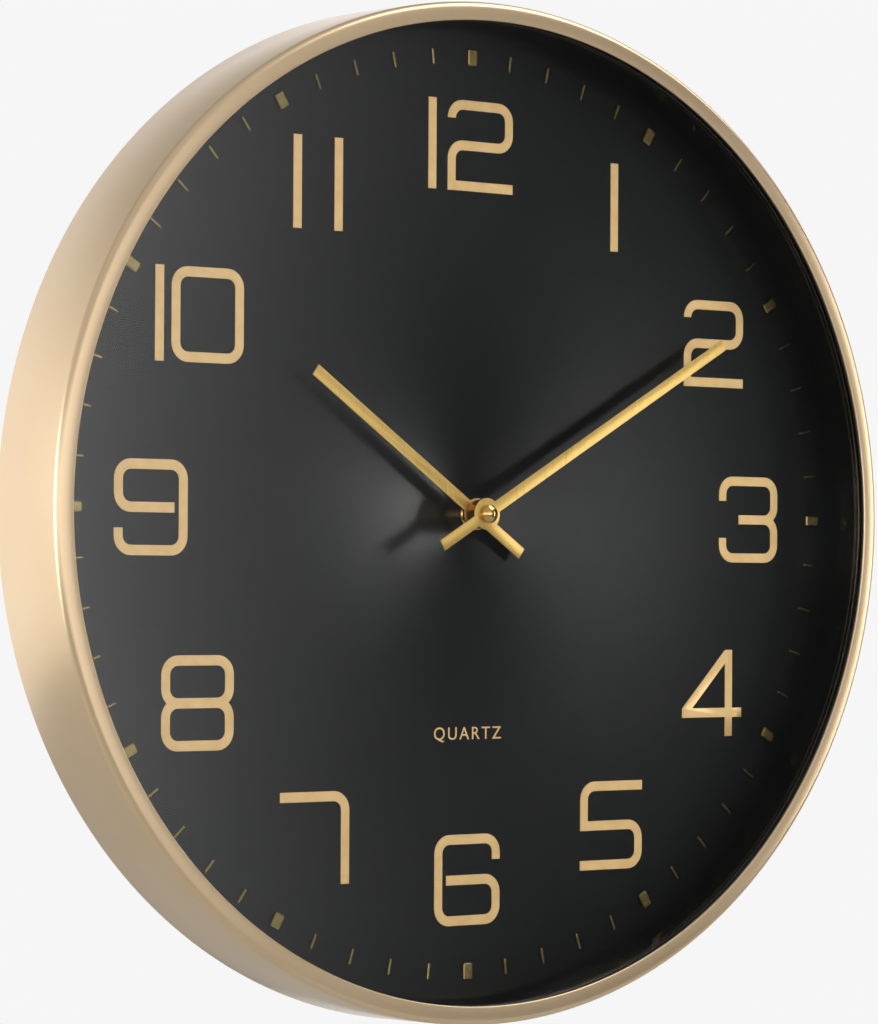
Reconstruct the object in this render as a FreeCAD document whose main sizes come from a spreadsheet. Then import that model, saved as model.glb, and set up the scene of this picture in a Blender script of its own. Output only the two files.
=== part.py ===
import FreeCAD, Part
import math
import os
import re
import Sketcher

# Round quartz wall clock with a formed sheet-metal case, a black dial under glass and two baton hands.
# X points right as the clock is read, Z up and Y into the wall. The origin lies on the hands' axis, in
# the plane of the wall. Places along the axis are given as heights: millimetres in front of the wall.

Vector = FreeCAD.Vector
beyond = 1.0  # how far a cutting tool passes the faces that it cuts
doc = FreeCAD.newDocument("WallClock")
sheet = doc.addObject("Spreadsheet::Sheet", "Sizes")
forward = Vector(0, -1, 0)

drivingSizes = [
    # case and glass
    ("rearRadius", 201.7, "outside of the case at the wall"),
    ("sideTaper", 1.7, "how much smaller the side is at the front"),
    ("sheetWall", 1.2, "thickness of the formed case"),
    ("bendRadius", 2.4, "outside of the bend between side and front band"),
    ("bandWidth", 7.3, "front band, from the side to its inner lip"),
    ("bandRise", 0.4, "fall of the band from its lip to the bend"),
    ("glassThick", 2.0, "lens"),
    ("gasketLeg", 0.5, "rubber in front of and behind the lens"),
    ("gasketWall", 0.8, "rubber round the lens"),
    ("gasketHide", 0.3, "how far the gasket stays behind the lip"),
    ("glassEdge", 2.2, "width of lens held in the gasket"),
    ("ringDraft", 1.0, "taper of the black ring's bore"),
    # dial and what is on it
    ("dialThick", 1.0, "dial plate"),
    ("dialLap", 4.8, "dial plate hidden under the black ring"),
    ("dialHolePlay", 0.1, "radial gap of the dial round the movement's bush"),
    ("numeralInset", 45.7, "visible dial edge to the circle of numeral centres"),
    ("digitWidth", 32.2, "a full digit"),
    ("digitHeight", 36.0, "every digit"),
    ("strokeWidth", 3.9, "line of the digits"),
    ("cornerRadius", 5.4, "bend of the digits, at the middle of the line"),
    ("numeralThick", 0.3, "applied numerals"),
    ("blockInset", 7.5, "visible dial edge to the hour blocks"),
    ("blockLength", 6.5, "hour block along the radius"),
    ("blockWidth", 4.3, "hour block across"),
    ("blockThick", 1.4, "hour block"),
    ("tickLength", 6.4, "minute tick along the radius"),
    ("tickWidth", 1.0, "minute tick across"),
    ("tickThick", 0.9, "minute tick"),
    # back
    ("coverRecess", 1.2, "wall to the back cover"),
    ("coverThick", 0.8, "back cover"),
    ("coverPlay", 0.8, "gap between back cover and case"),
    ("windowGap", 2.0, "back cover opening, clear of the movement all round"),
    ("screwInset", 5.5, "inside of the case to the circle of cover screws"),
    ("screwRadius", 1.5, "cover screw"),
    ("screwLength", 6.0, "cover screw under its head"),
    ("screwHead", 2.8, "radius of a cover screw's head"),
    ("headThick", 0.9, "cover screw's head"),
    ("holePlay", 0.15, "radial gap round a cover screw"),
    ("lugAngle", 8.0, "width of a lug, in degrees"),
    ("lugHeight", 11.6, "lug along the side of the case"),
    ("lugThick", 1.2, "lug sheet"),
    ("lugFoot", 8.6, "lug under the back cover"),
    ("spacerInset", 1.7, "visible dial edge to the outside of the dial spacer"),
    ("spacerWall", 2.5, "dial spacer"),
    ("hangerDrop", 51.7, "top of the case to the middle of the hanger plate"),
    ("hangerWidth", 44.0, "hanger plate"),
    ("hangerHeight", 32.0, "hanger plate"),
    ("hangerThick", 1.2, "hanger plate"),
    ("keyRadius", 5.0, "keyhole, where the screw head goes in"),
    ("slotHalf", 2.5, "half the width of the hanging slot"),
    ("slotRise", 11.0, "centre of the keyhole to the end centre of the slot"),
    ("hangerGap", 3.0, "back cover opening, clear of the keyhole all round"),
    ("rivetRadius", 1.5, "hanger rivet"),
    ("rivetHead", 2.6, "hanger rivet's head"),
    ("rivetHeadThick", 0.8, "hanger rivet's head"),
    ("rivetInset", 5.0, "rivet to the edges of the hanger plate"),
    # movement housing
    ("movementRear", 1.0, "wall to the housing"),
    ("washerThick", 0.5, "rubber washer between housing and dial"),
    ("washerWidth", 4.2, "the same washer across its ring"),
    ("housingWall", 1.2, "sides of the housing"),
    ("frontWall", 1.4, "front of the housing"),
    ("bayFloor", 0.6, "front of the housing under the battery"),
    ("bayPlay", 0.25, "gap between cell and bay on each side"),
    ("cellPlay", 0.1, "gap between cell and bay floor"),
    ("cellRecess", 0.8, "cell behind the housing's rear face"),
    ("dividerWall", 1.0, "between the battery bay and the gears"),
    ("lidThick", 1.2, "lid over the gears"),
    ("lidPlay", 0.1, "gap round the lid"),
    ("postRadius", 2.2, "screw post"),
    ("postInset", 2.5, "screw post's centre to the walls"),
    ("postScrew", 0.8, "housing screw"),
    ("postScrewLength", 8.0, "housing screw under its head"),
    ("postHead", 1.6, "radius of a housing screw's head"),
    ("postHeadThick", 0.6, "housing screw's head"),
    ("bushWall", 1.45, "threaded bush through the dial"),
    ("bushLap", 1.5, "bush's flange round its thread"),
    ("bushStand", 3.9, "bush in front of the dial"),
    ("nutWall", 2.2, "round nut and washer outside the bush"),
    ("nutThick", 3.0, "round nut"),
    ("nutWasher", 0.5, "brass washer"),
    ("runningGap", 0.05, "radial gap of a shaft in its hole"),
    ("pivotRadius", 0.5, "pivots of the gears"),
    ("knobRadius", 5.0, "time setting knob"),
    ("knobThick", 2.2, "time setting knob"),
    ("knobWell", 3.0, "depth of the well round the knob"),
    ("wellPlay", 0.4, "gap between knob and well"),
    ("knobShaft", 1.5, "radius of the knob's shaft"),
    # hands: the heights are of each piece above the dial
    ("hourRise", 5.2, "dial to the back of the hour hand"),
    ("minuteRise", 11.7, "dial to the back of the minute hand"),
    ("glassClear", 2.0, "cap nut to the lens"),
    ("handThick", 0.6, "both hands"),
    ("hourLength", 94.5, "axis to the hour hand's tip"),
    ("hourTail", 27.0, "axis to the hour hand's tail end"),
    ("hourWidth", 4.8, "hour hand"),
    ("minuteLength", 141.3, "axis to the minute hand's tip"),
    ("minuteTail", 25.0, "axis to the minute hand's tail end"),
    ("minuteWidth", 4.6, "minute hand"),
    ("hubLap", 0.45, "disc in the middle of both hands, past the minute hand's collar"),
    ("hourAngle", 305.0, "hour hand, in degrees clockwise from twelve"),
    ("minuteAngle", 59.5, "minute hand, in degrees clockwise from twelve"),
    ("arborRadius", 1.6, "minute arbor"),
    ("shoulderStep", 0.2, "how much thinner the arbor is where the minute hand sits"),
    ("threadStep", 0.4, "how much thinner the arbor is inside the cap nut"),
    ("threadPlay", 0.2, "end of the arbor to the cap nut's dome"),
    ("pipeWall", 0.85, "hour wheel's pipe"),
    ("collarWall", 1.9, "collar behind the hour hand"),
    ("neckWall", 0.7, "that collar where it passes the hour hand"),
    ("barrelPlay", 1.0, "gap between that neck and the minute hand's collar"),
    ("barrelWall", 1.6, "collar behind the minute hand"),
    ("axialGap", 0.3, "gap between turning pieces along the axis"),
    ("capWall", 2.4, "cap nut round its thread"),
    ("capThick", 3.6, "cap nut"),
    ("capDome", 1.4, "height of the cap nut's dome"),
    # gears
    ("rotorModule", 0.3, "rotor pinion and fifth wheel"),
    ("minuteModule", 0.5, "cannon pinion, motion wheel and setting pinion"),
    ("wheelGap", 0.2, "hour wheel to its neighbours along the axis"),
    ("wheelStep", 0.8, "between neighbouring wheels of the going train"),
    ("wheelPlay", 0.3, "between the wheels and the walls round them"),
    ("centreClear", 1.028, "centre wheel's teeth to the motion wheel's pivot"),
    ("thirdClear", 0.564, "third wheel's teeth to the arbor's pivot"),
    ("pinionLap", 0.4, "how far a pinion passes the wheel that it drives"),
    ("hourWheelThick", 1.2, "hour wheel"),
    ("motionThick", 1.2, "motion wheel"),
    ("cannonThick", 2.0, "cannon pinion"),
    ("centreThick", 1.0, "centre wheel"),
    ("centreHubWall", 1.0, "centre wheel's hub round the arbor"),
    ("centreHubThick", 0.5, "centre wheel's hub behind the wheel"),
    ("wheelThick", 0.8, "third and second wheels"),
    ("fifthThick", 0.5, "fifth wheel"),
    ("clutchRoom", 0.8, "between the centre wheel and the cannon pinion"),
    ("clutchRadius", 4.2, "spring washer"),
    ("clutchNeck", 1.0, "flat ring of the spring washer round the arbor"),
    ("clutchDish", 0.35, "height of the spring washer's cone"),
    ("clutchThick", 0.2, "spring washer"),
    ("motionAngle", 180.0, "direction of the motion wheel from the axis"),
    ("knobAngle", 135.0, "direction of the knob from the motion wheel"),
    ("thirdAngle", 30.0, "direction of the third wheel from the axis"),
    ("secondAngle", 120.0, "direction of the second wheel from the third"),
    ("fifthAngle", 160.0, "direction of the fifth wheel from the second"),
    ("rotorAngle", 215.0, "direction of the rotor from the fifth wheel"),
    # electrical parts
    ("magnetRadius", 3.0, "rotor magnet"),
    ("magnetThick", 2.0, "rotor magnet"),
    ("magnetRise", 1.3, "fifth wheel to the rotor magnet along the axis"),
    ("airGap", 0.4, "rotor magnet to stator"),
    ("statorThick", 0.6, "stator and coil core"),
    ("statorWall", 1.5, "stator outside the rotor's hole"),
    ("statorNeck", 0.5, "stator between the rotor's hole and the fifth wheel"),
    ("statorArm", 1.8, "stator's arms to the coil"),
    ("coreWidth", 2.4, "coil core"),
    ("coilRadius", 3.0, "winding"),
    ("coilFlange", 3.4, "bobbin's flanges"),
    ("coilLength", 9.6, "bobbin"),
    ("coilPlay", 0.6, "bobbin to the housing's side"),
    ("coilInset", 2.0, "bobbin to the housing's top"),
    ("bobbinTube", 1.65, "radius of the bobbin's tube"),
    ("bobbinEnd", 0.8, "thickness of the bobbin's flanges"),
    ("boardThick", 1.0, "circuit board"),
    ("boardWidth", 12.0, "circuit board"),
    ("boardPlay", 0.6, "circuit board to the walls and posts"),
    ("chipRadius", 2.5, "potted timing chip"),
    ("chipThick", 1.0, "potted timing chip"),
    ("chipDrop", 6.5, "top of the board to the middle of the chip"),
    ("crystalRadius", 1.0, "quartz crystal's can"),
    ("crystalLength", 6.0, "quartz crystal's can"),
    ("crystalRise", 7.5, "bottom of the board to the crystal"),
    ("crystalInset", 3.2, "side of the board to the crystal"),
    ("batteryRadius", 7.25, "cell"),
    ("batteryLength", 49.2, "cell without its nub"),
    ("nubRadius", 2.75, "cell's positive nub"),
    ("nubLength", 1.3, "cell's positive nub"),
    ("contactThick", 0.3, "battery contacts"),
    ("contactWidth", 10.0, "battery contacts, across the cell"),
    ("contactHeight", 8.0, "battery contacts, along the axis of the hands"),
    ("contactTouch", 0.05, "gap between contacts and cell"),
    ("frontSpring", 0.9, "positive contact to the nub"),
    ("rearSpring", 1.6, "negative contact to the cell"),
    ("dimpleRadius", 3.0, "foot of a contact's dimple"),
    ("dimpleTip", 1.6, "tip of a contact's dimple"),
]

aliases = []


def fillSheet(sizes):
    """Adds rows to the sheet. Each size is a number, or an expression of sizes above it."""
    for alias, size, note in sizes:
        aliases.append(alias)
        row = len(aliases)
        sheet.set("A%d" % row, note)
        sheet.set("B%d" % row, "=%s" % size)
        sheet.setAlias("B%d" % row, alias)
    doc.recompute()


def bound(text):
    """The expression that reads the sheet's cells by their aliases."""
    return re.sub(r"\b[a-z]\w*", lambda word: ("Sizes." if word[0] in aliases else "") + word[0], str(text))


def value(text):
    """What such an expression comes to now."""
    return float(sheet.evalExpression(bound(text)))


def joined(*terms):
    """The sum of expressions, as one expression."""
    return "(" + " + ".join("(%s)" % term for term in terms) + ")"


fillSheet(drivingSizes)


# Radii round the hands' axis, from the arbor outwards.
arborBore = "(arborRadius + runningGap)"
arborShoulder = "(arborRadius - shoulderStep)"
arborThread = "(arborRadius - threadStep)"
pipeRadius = joined(arborBore, "pipeWall")
pipeBore = joined(pipeRadius, "runningGap")
bushRadius = joined(pipeBore, "bushWall")
bushFlange = joined(bushRadius, "bushLap")
nutRadius = joined(bushRadius, "nutWall")
hourCollar = joined(pipeRadius, "collarWall")
hourNeck = joined(pipeRadius, "neckWall")
barrelBore = joined(hourNeck, "barrelPlay")
barrelRadius = joined(barrelBore, "barrelWall")
hubRadius = joined(barrelRadius, "hubLap")
capRadius = joined(arborThread, "capWall")

# Heights that several pieces share. The movement is as deep as its cell needs, the dial stands on the
# movement, the lens clears the hands, and the case closes over the lens.
coverFront = "(coverRecess + coverThick)"
lidFront = "(movementRear + lidThick)"
bayFront = "(movementRear + cellRecess + 2 * batteryRadius + cellPlay)"
housingFront = joined(bayFront, "bayFloor")
chamberFront = joined(housingFront, "-frontWall")
dialRear = joined(housingFront, "washerThick")
dialFace = joined(dialRear, "dialThick")
hourRear = joined(dialFace, "hourRise")
minuteRear = joined(dialFace, "minuteRise")
caseParts = [minuteRear, "handThick", "capThick", "glassClear", "glassThick", "2 * gasketLeg", "sheetWall"]
fillSheet([("caseDepth", joined(*caseParts), "wall to the front of the case")])
lipInside = "(caseDepth - sheetWall)"
glassRear = "(caseDepth - sheetWall - 2 * gasketLeg - glassThick)"
gasketRear = joined(glassRear, "-gasketLeg")

# Radii of the case's front and what it holds.
lipRadius = "(rearRadius - sideTaper - bandWidth)"
dialRadius = joined(lipRadius, "-ringDraft")
gasketInner = joined(lipRadius, "gasketHide")
glassRadius = joined(gasketInner, "glassEdge")
gasketOuter = joined(glassRadius, "gasketWall")


# Bodies made of sketches. A sketch is a list of closed wires: ("circle", x, z, radius) or
# ("outline", [(x, z), ...]), where every number is an expression.

def newBody(label):
    body = doc.addObject("PartDesign::Body", "Body_" + label)
    body.Label = label
    return body


def newSketch(body, role, height="0"):
    sketch = body.newObject("Sketcher::SketchObject", body.Name + "_sketch")
    plane = [item for item in body.Origin.OriginFeatures if item.Role == role][0]
    sketch.AttachmentSupport = [(plane, "")]
    sketch.MapMode = "FlatFace"
    sketch.setExpression(".AttachmentOffset.Base.z", bound(height))
    return sketch


def fixPoint(sketch, geometry, point, x, y):
    for kind, place in (("DistanceX", x), ("DistanceY", y)):
        index = sketch.addConstraint(Sketcher.Constraint(kind, -1, 1, geometry, point, value(place)))
        sketch.setExpression("Constraints[%d]" % index, bound(place))


def addCircle(sketch, x, y, radius):
    centre = Vector(value(x), value(y), 0)
    circle = sketch.addGeometry(Part.Circle(centre, Vector(0, 0, 1), value(radius)), False)
    fixPoint(sketch, circle, 3, x, y)
    index = sketch.addConstraint(Sketcher.Constraint("Radius", circle, value(radius)))
    sketch.setExpression("Constraints[%d]" % index, bound(radius))


def addOutline(sketch, corners):
    points = [Vector(value(x), value(y), 0) for x, y in corners]
    lines = []
    for start, end in zip(points, points[1:] + points[:1]):
        lines.append(sketch.addGeometry(Part.LineSegment(start, end), False))
    for line, following in zip(lines, lines[1:] + lines[:1]):
        sketch.addConstraint(Sketcher.Constraint("Coincident", line, 2, following, 1))
    for line, (x, y) in zip(lines, corners):
        fixPoint(sketch, line, 1, x, y)


def drawWires(sketch, wires):
    for wire in wires:
        if wire[0] == "circle":
            addCircle(sketch, *wire[1:])
        else:
            addOutline(sketch, wire[1])


def padUp(body, wires, start, length):
    """Adds a plate whose back is at height start."""
    sketch = newSketch(body, "XZ_Plane", start)
    drawWires(sketch, wires)
    pad = body.newObject("PartDesign::Pad", body.Name + "_pad")
    pad.Profile = sketch
    pad.setExpression("Length", bound(length))
    doc.recompute()
    return pad


def plate(label, layers):
    """A body built of plates: (wires, start, length) each."""
    body = newBody(label)
    for wires, start, length in layers:
        padUp(body, wires, start, length)
    return body


def turned(label, corners):
    """A body turned round the hands' axis from an outline of (radius, height)."""
    body = newBody(label)
    sketch = newSketch(body, "XY_Plane")
    addOutline(sketch, [(radius, "-(%s)" % height) for radius, height in corners])
    spin = body.newObject("PartDesign::Revolution", body.Name + "_turn")
    spin.Profile = sketch
    spin.ReferenceAxis = (sketch, ["V_Axis"])
    spin.Angle = 360
    doc.recompute()
    return body


def roundEdges(body, tests):
    """Fillets the circular edges at (radius, height) to a size, one fillet for each test."""
    for radius, height, size in tests:
        base = body.Tip
        names = []
        for number, edge in enumerate(base.Shape.Edges, start=1):
            round_ = isinstance(edge.Curve, Part.Circle)
            if round_ and abs(edge.Curve.Radius - value(radius)) < 0.01 \
                    and abs(edge.Curve.Center.y + value(height)) < 0.01:
                names.append("Edge%d" % number)
        fillet = body.newObject("PartDesign::Fillet", body.Name + "_fillet")
        fillet.Base = (base, names)
        fillet.setExpression("Radius", bound(size))
        doc.recompute()
    return body


def disc(radius, x="0", z="0"):
    return ("circle", x, z, radius)


def rectangle(left, bottom, right, top):
    return ("outline", [(left, bottom), (right, bottom), (right, top), (left, top)])


def square(half):
    return rectangle("-(%s)" % half, "-(%s)" % half, half, half)


def ring(label, outer, inner, start, length):
    return plate(label, [([disc(outer), disc(inner)], start, length)])


# Solids made by Part functions, for teeth, strokes and repeated pieces.

def feature(label, shape, place=FreeCAD.Placement()):
    item = doc.addObject("Part::Feature", "Solid_" + label)
    item.Label = label
    item.Shape = shape
    item.Placement = place
    return item


def rod(radius, start, end, x=0.0, z=0.0):
    """A round bar along the axis, from height start to height end."""
    return Part.makeCylinder(radius, end - start, Vector(x, -start, z), forward)


def extruded(face, start, thickness):
    lifted = face.copy()
    lifted.translate(forward * start)
    return lifted.extrude(forward * thickness)


# Case: one formed sheet with a tapered side, a bend and a flat front band.

def caseSide(height, inset):
    """Radius of the side at a height, moved inwards by inset."""
    return "(rearRadius - (%s) - sideTaper * (%s) / (caseDepth - bandRise))" % (inset, height)


shoulder = "(caseDepth - bandRise)"
case = turned("case_shell", [
    (caseSide("0", "0"), "0"),
    (caseSide(shoulder, "0"), shoulder),
    (lipRadius, "caseDepth"),
    (lipRadius, lipInside),
    (caseSide(lipInside, "sheetWall"), lipInside),
    (caseSide("0", "sheetWall"), "0"),
])
roundEdges(case, [
    (caseSide(shoulder, "0"), shoulder, "bendRadius"),
    (caseSide(lipInside, "sheetWall"), lipInside, "bendRadius - sheetWall"),
    (lipRadius, "caseDepth", "sheetWall / 3"),
])

# Lens in a rubber channel, and the black ring that holds both against the front band.
glassFront = joined(glassRear, "glassThick")
turned("lens_gasket", [
    (gasketOuter, gasketRear), (gasketOuter, lipInside), (gasketInner, lipInside),
    (gasketInner, glassFront), (glassRadius, glassFront), (glassRadius, glassRear),
    (gasketInner, glassRear), (gasketInner, gasketRear),
])
plate("lens", [([disc(glassRadius)], glassRear, "glassThick")])
turned("inner_ring", [
    (gasketOuter, dialFace), (gasketOuter, gasketRear), (lipRadius, gasketRear), (dialRadius, dialFace),
])

# Dial, and the spacer that carries it on the back cover.
dialOuter = joined(dialRadius, "dialLap")
dialHole = joined(bushRadius, "dialHolePlay")
spacerRadius = joined(dialRadius, "-spacerInset")
plate("dial_plate", [([disc(dialOuter), disc(dialHole)], dialRear, "dialThick")])
ring("dial_spacer", spacerRadius, joined(spacerRadius, "-spacerWall"), coverFront,
     "%s - %s" % (dialRear, coverFront))


# Numerals: each digit is a line of constant width through the middle of its strokes.

def tangentLength(before, corner, after, radius):
    turn = (corner - before).getAngle(after - corner)
    return radius * math.tan(turn / 2)


def barFace(start, end, width):
    along = (end - start).normalize()
    side = Vector(-along.z, 0, along.x) * (width / 2)
    corners = [start + side, end + side, end - side, start - side, start + side]
    return Part.Face(Part.makePolygon(corners))


def bendFace(before, corner, after, radius, width):
    """The ring sector that rounds one corner of a stroke."""
    arriving = (corner - before).normalize()
    leaving = (after - corner).normalize()
    reach = tangentLength(before, corner, after, radius)
    inward = (leaving - arriving).normalize()
    centre = corner + inward * math.hypot(radius, reach)
    start = (corner - arriving * reach - centre).normalize()
    end = (corner + leaving * reach - centre).normalize()
    middle = -inward
    inner, outer = radius - width / 2, radius + width / 2
    edges = [
        Part.Arc(centre + start * outer, centre + middle * outer, centre + end * outer).toShape(),
        Part.LineSegment(centre + end * outer, centre + end * inner).toShape(),
        Part.Arc(centre + end * inner, centre + middle * inner, centre + start * inner).toShape(),
        Part.LineSegment(centre + start * inner, centre + start * outer).toShape(),
    ]
    return Part.Face(Part.Wire(edges))


def strokeFaces(path, width, closed=False):
    """Faces of a stroke through (x, z, corner radius); a corner of radius 0 is square."""
    points = [Vector(x, 0, z) for x, z, radius in path]
    radii = [radius for x, z, radius in path]
    count = len(points)
    faces = []
    cuts = [0.0] * count
    for index in range(count):
        if not closed and index in (0, count - 1):
            continue
        before, after = points[index - 1], points[(index + 1) % count]
        if radii[index]:
            cuts[index] = tangentLength(before, points[index], after, radii[index])
            faces.append(bendFace(before, points[index], after, radii[index], width))
        else:
            cuts[index] = -width / 2
    for index in range(count if closed else count - 1):
        following = (index + 1) % count
        along = (points[following] - points[index]).normalize()
        start = points[index] + along * cuts[index]
        end = points[following] - along * cuts[following]
        if (end - start).dot(along) > 0.01:
            faces.append(barFace(start, end, width))
    return faces


def digitFaces(digit, width, height, line, bend):
    """Faces of one digit in a box from (0, 0) to (width, height)."""
    left, right = line / 2, width - line / 2
    bottom, top = line / 2, height - line / 2
    middle = height / 2
    hook = height / 3.5
    if digit == "0":
        corners = [(left, bottom), (right, bottom), (right, top), (left, top)]
        return strokeFaces([(x, z, bend) for x, z in corners], line, closed=True)
    if digit == "1":
        return strokeFaces([(left, 0, 0), (left, height, 0)], line)
    if digit == "2":
        return strokeFaces([(left, top - bend, 0), (left, top, bend), (right, top, bend),
                            (right, middle, bend), (left, middle, bend), (left, bottom, 0),
                            (width, bottom, 0)], line)
    if digit == "3":
        upper = [(left, height - hook, 0), (left, top, bend), (right, top, bend),
                 (right, middle, bend), (width / 3, middle, 0)]
        lower = [(x, height - z, radius) for x, z, radius in upper]
        return strokeFaces(upper, line) + strokeFaces(lower, line)
    if digit == "4":
        stem, step = width * 0.72, height * 0.22
        slope = (height - step - line) / stem
        inset = line * math.hypot(1, slope) / slope
        outer = [(0, step), (stem, step), (stem, 0), (stem + line, 0), (stem + line, step),
                 (width, step), (width, step + line), (stem + line, step + line),
                 (stem + line, height), (stem, height), (0, step + line)]
        inner = [(inset, step + line), (stem, step + line), (stem, step + line + slope * (stem - inset))]
        wires = []
        for corners in (outer, inner):
            loop = [Vector(x, 0, z) for x, z in corners]
            wires.append(Part.makePolygon(loop + loop[:1]))
        return [Part.Face(wires[0]).cut(Part.Face(wires[1])).Faces[0]]
    if digit == "5":
        return strokeFaces([(width, top, 0), (left, top, bend), (left, middle, 0), (right, middle, bend),
                            (right, bottom, bend), (0, bottom, 0)], line)
    if digit == "7":
        return strokeFaces([(0, top, 0), (right, top, bend), (right, 0, 0)], line)
    if digit == "8":
        faces = []
        for low, high in ((bottom, middle), (middle, top)):
            corners = [(left, low), (right, low), (right, high), (left, high)]
            faces += strokeFaces([(x, z, bend) for x, z in corners], line, closed=True)
        return faces
    six = [(right, height - hook), (right, top), (left, top), (left, bottom), (right, bottom),
           (right, middle), (width * 0.18, middle)]
    if digit == "9":
        six = [(width - x, height - z) for x, z in six]
    ends = (0, len(six) - 1)
    return strokeFaces([(x, z, 0 if index in ends else bend) for index, (x, z) in enumerate(six)], line)


pairGaps = {"10": 3.3, "11": 15.2, "12": 5.5}
# how far a numeral stands off its place on the circle: to the right and up
numeralShifts = {4: (0, 0.5), 5: (0, 0.8), 6: (0, 1.2), 7: (0, 0.6), 9: (-1.45, 0.3)}


def makeNumeral(hour):
    width, height = value("digitWidth"), value("digitHeight")
    line, bend = value("strokeWidth"), value("cornerRadius")
    digits = str(hour)
    widths = [line if digit == "1" else width for digit in digits]
    total = sum(widths) + pairGaps.get(digits, 0)
    circle = value("%s - numeralInset" % dialRadius)
    angle = math.radians(30 * hour)
    aside, above = numeralShifts.get(hour, (0, 0))
    left = circle * math.sin(angle) - total / 2 + aside
    base = circle * math.cos(angle) - height / 2 + above
    solids = []
    for digit, digitSpan in zip(digits, widths):
        pieces = []
        for face in digitFaces(digit, width, height, line, bend):
            pieces.append(extruded(face, value(dialFace), value("numeralThick")))
        solid = pieces[0].fuse(pieces[1:]).removeSplitter() if len(pieces) > 1 else pieces[0]
        solid.translate(Vector(left, 0, base))
        solids.append(solid)
        left += digitSpan + pairGaps.get(digits, 0)
    feature("numeral_%d" % hour, Part.makeCompound(solids))


for hour in range(1, 13):
    makeNumeral(hour)


# Markers: a block on each hour and a tick on each other minute, each a box turned about the axis.

def markers(label, angles, inset, length, width, thickness):
    boxes = []
    outer = joined(dialRadius, "-%s" % inset)
    for number, angle in enumerate(angles):
        box = doc.addObject("Part::Box", "%s_%d" % (label, number))
        box.setExpression("Length", bound(width))
        box.setExpression("Width", bound(thickness))
        box.setExpression("Height", bound(length))
        turn = FreeCAD.Rotation(Vector(0, 1, 0), angle)
        box.Placement = FreeCAD.Placement(Vector(), turn)
        across = "(-%s / 2)" % width
        along = "(%s - %s)" % (outer, length)
        sine, cosine = "sin(%g)" % angle, "cos(%g)" % angle
        box.setExpression("Placement.Base.x", bound("%s * %s + %s * %s" % (across, cosine, along, sine)))
        box.setExpression("Placement.Base.y", bound("-(%s) - %s" % (dialFace, thickness)))
        box.setExpression("Placement.Base.z", bound("%s * %s - %s * %s" % (along, cosine, across, sine)))
        boxes.append(box)
    group = doc.addObject("Part::Compound", "Group_" + label)
    group.Label = label
    group.Links = boxes


markers("hour_markers", range(0, 360, 30), "blockInset", "blockLength", "blockWidth", "blockThick")
minutes = [angle for angle in range(0, 360, 6) if angle % 30]
markers("minute_markers", minutes, "blockInset", "tickLength", "tickWidth", "tickThick")


# Teeth are whole numbers, so they aren't sizes of the sheet. A tooth is a symmetric trapezium with a
# taper above the pitch circle; its widths are shares of the pitch and its heights shares of the
# module, with room for the mate to turn through.
teeth = {
    "cannon": 12, "motion": 36, "motionPinion": 12, "hour": 48, "setting": 12,
    "centre": 60, "thirdPinion": 8, "third": 64, "secondPinion": 8, "second": 48,
    "fifthPinion": 8, "fifth": 40, "rotorPinion": 8,
}
wheelTooth = {"above": 0.8, "below": 1.1, "root": 0.22, "pitch": 0.18, "tip": 0.07}
pinionTooth = {"above": 0.6, "below": 1.3, "root": 0.16, "pitch": 0.16, "tip": 0.07}


# Where the gears stand: each axis is one mesh away from the one before it.
def spot(origin, first, second, module, angle):
    """The axis of a gear in mesh with one at origin, as two expressions."""
    distance = "(%s * %g)" % (module, (teeth[first] + teeth[second]) / 2)
    x, z = origin
    return (joined(x, "%s * cos(%s)" % (distance, angle)), joined(z, "%s * sin(%s)" % (distance, angle)))


def roomFor(wheel, distance, clearance):
    """The module that lets a wheel's teeth pass a pivot at a distance from its axis."""
    return "((%s - pivotRadius - %s) / %g)" % (distance, clearance, teeth[wheel] / 2 + wheelTooth["above"])


motionDistance = "minuteModule * %g" % ((teeth["cannon"] + teeth["motion"]) / 2)
thirdDistance = "goingModule * %g" % ((teeth["centre"] + teeth["thirdPinion"]) / 2)
fillSheet([
    ("goingModule", roomFor("centre", motionDistance, "centreClear"), "third pinion and centre wheel"),
    ("fineModule", roomFor("third", thirdDistance, "thirdClear"), "third wheel to the fifth pinion"),
])

axisSpot = ("0", "0")
motionSpot = spot(axisSpot, "cannon", "motion", "minuteModule", "motionAngle")
knobSpot = spot(motionSpot, "motion", "setting", "minuteModule", "knobAngle")
thirdSpot = spot(axisSpot, "centre", "thirdPinion", "goingModule", "thirdAngle")
secondSpot = spot(thirdSpot, "third", "secondPinion", "fineModule", "secondAngle")
fifthSpot = spot(secondSpot, "second", "fifthPinion", "fineModule", "fifthAngle")
rotorSpot = spot(fifthSpot, "fifth", "rotorPinion", "rotorModule", "rotorAngle")
pivotSpots = [motionSpot, thirdSpot, secondSpot, fifthSpot, rotorSpot]

# The square housing is as large as the cell, the gears above the cell, or the knob needs.
bayWidth = "(2 * (batteryRadius + bayPlay))"
wellRadius = "(knobRadius + wellPlay)"
wellWall = joined(wellRadius, "lidThick / 2")
cellSpan = "(batteryLength + nubLength + frontSpring + rearSpring + 2 * contactThick)"
centreTip = "(goingModule * %g)" % (teeth["centre"] / 2 + wheelTooth["above"])
gearNeed = joined(centreTip, "wheelPlay", "dividerWall", bayWidth)
knobNeed = joined("-(%s)" % knobSpot[0], wellWall, "wheelPlay")
inside = "max(%s / 2; %s; %s)" % (cellSpan, gearNeed, knobNeed)
half = joined(inside, "housingWall")

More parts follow.
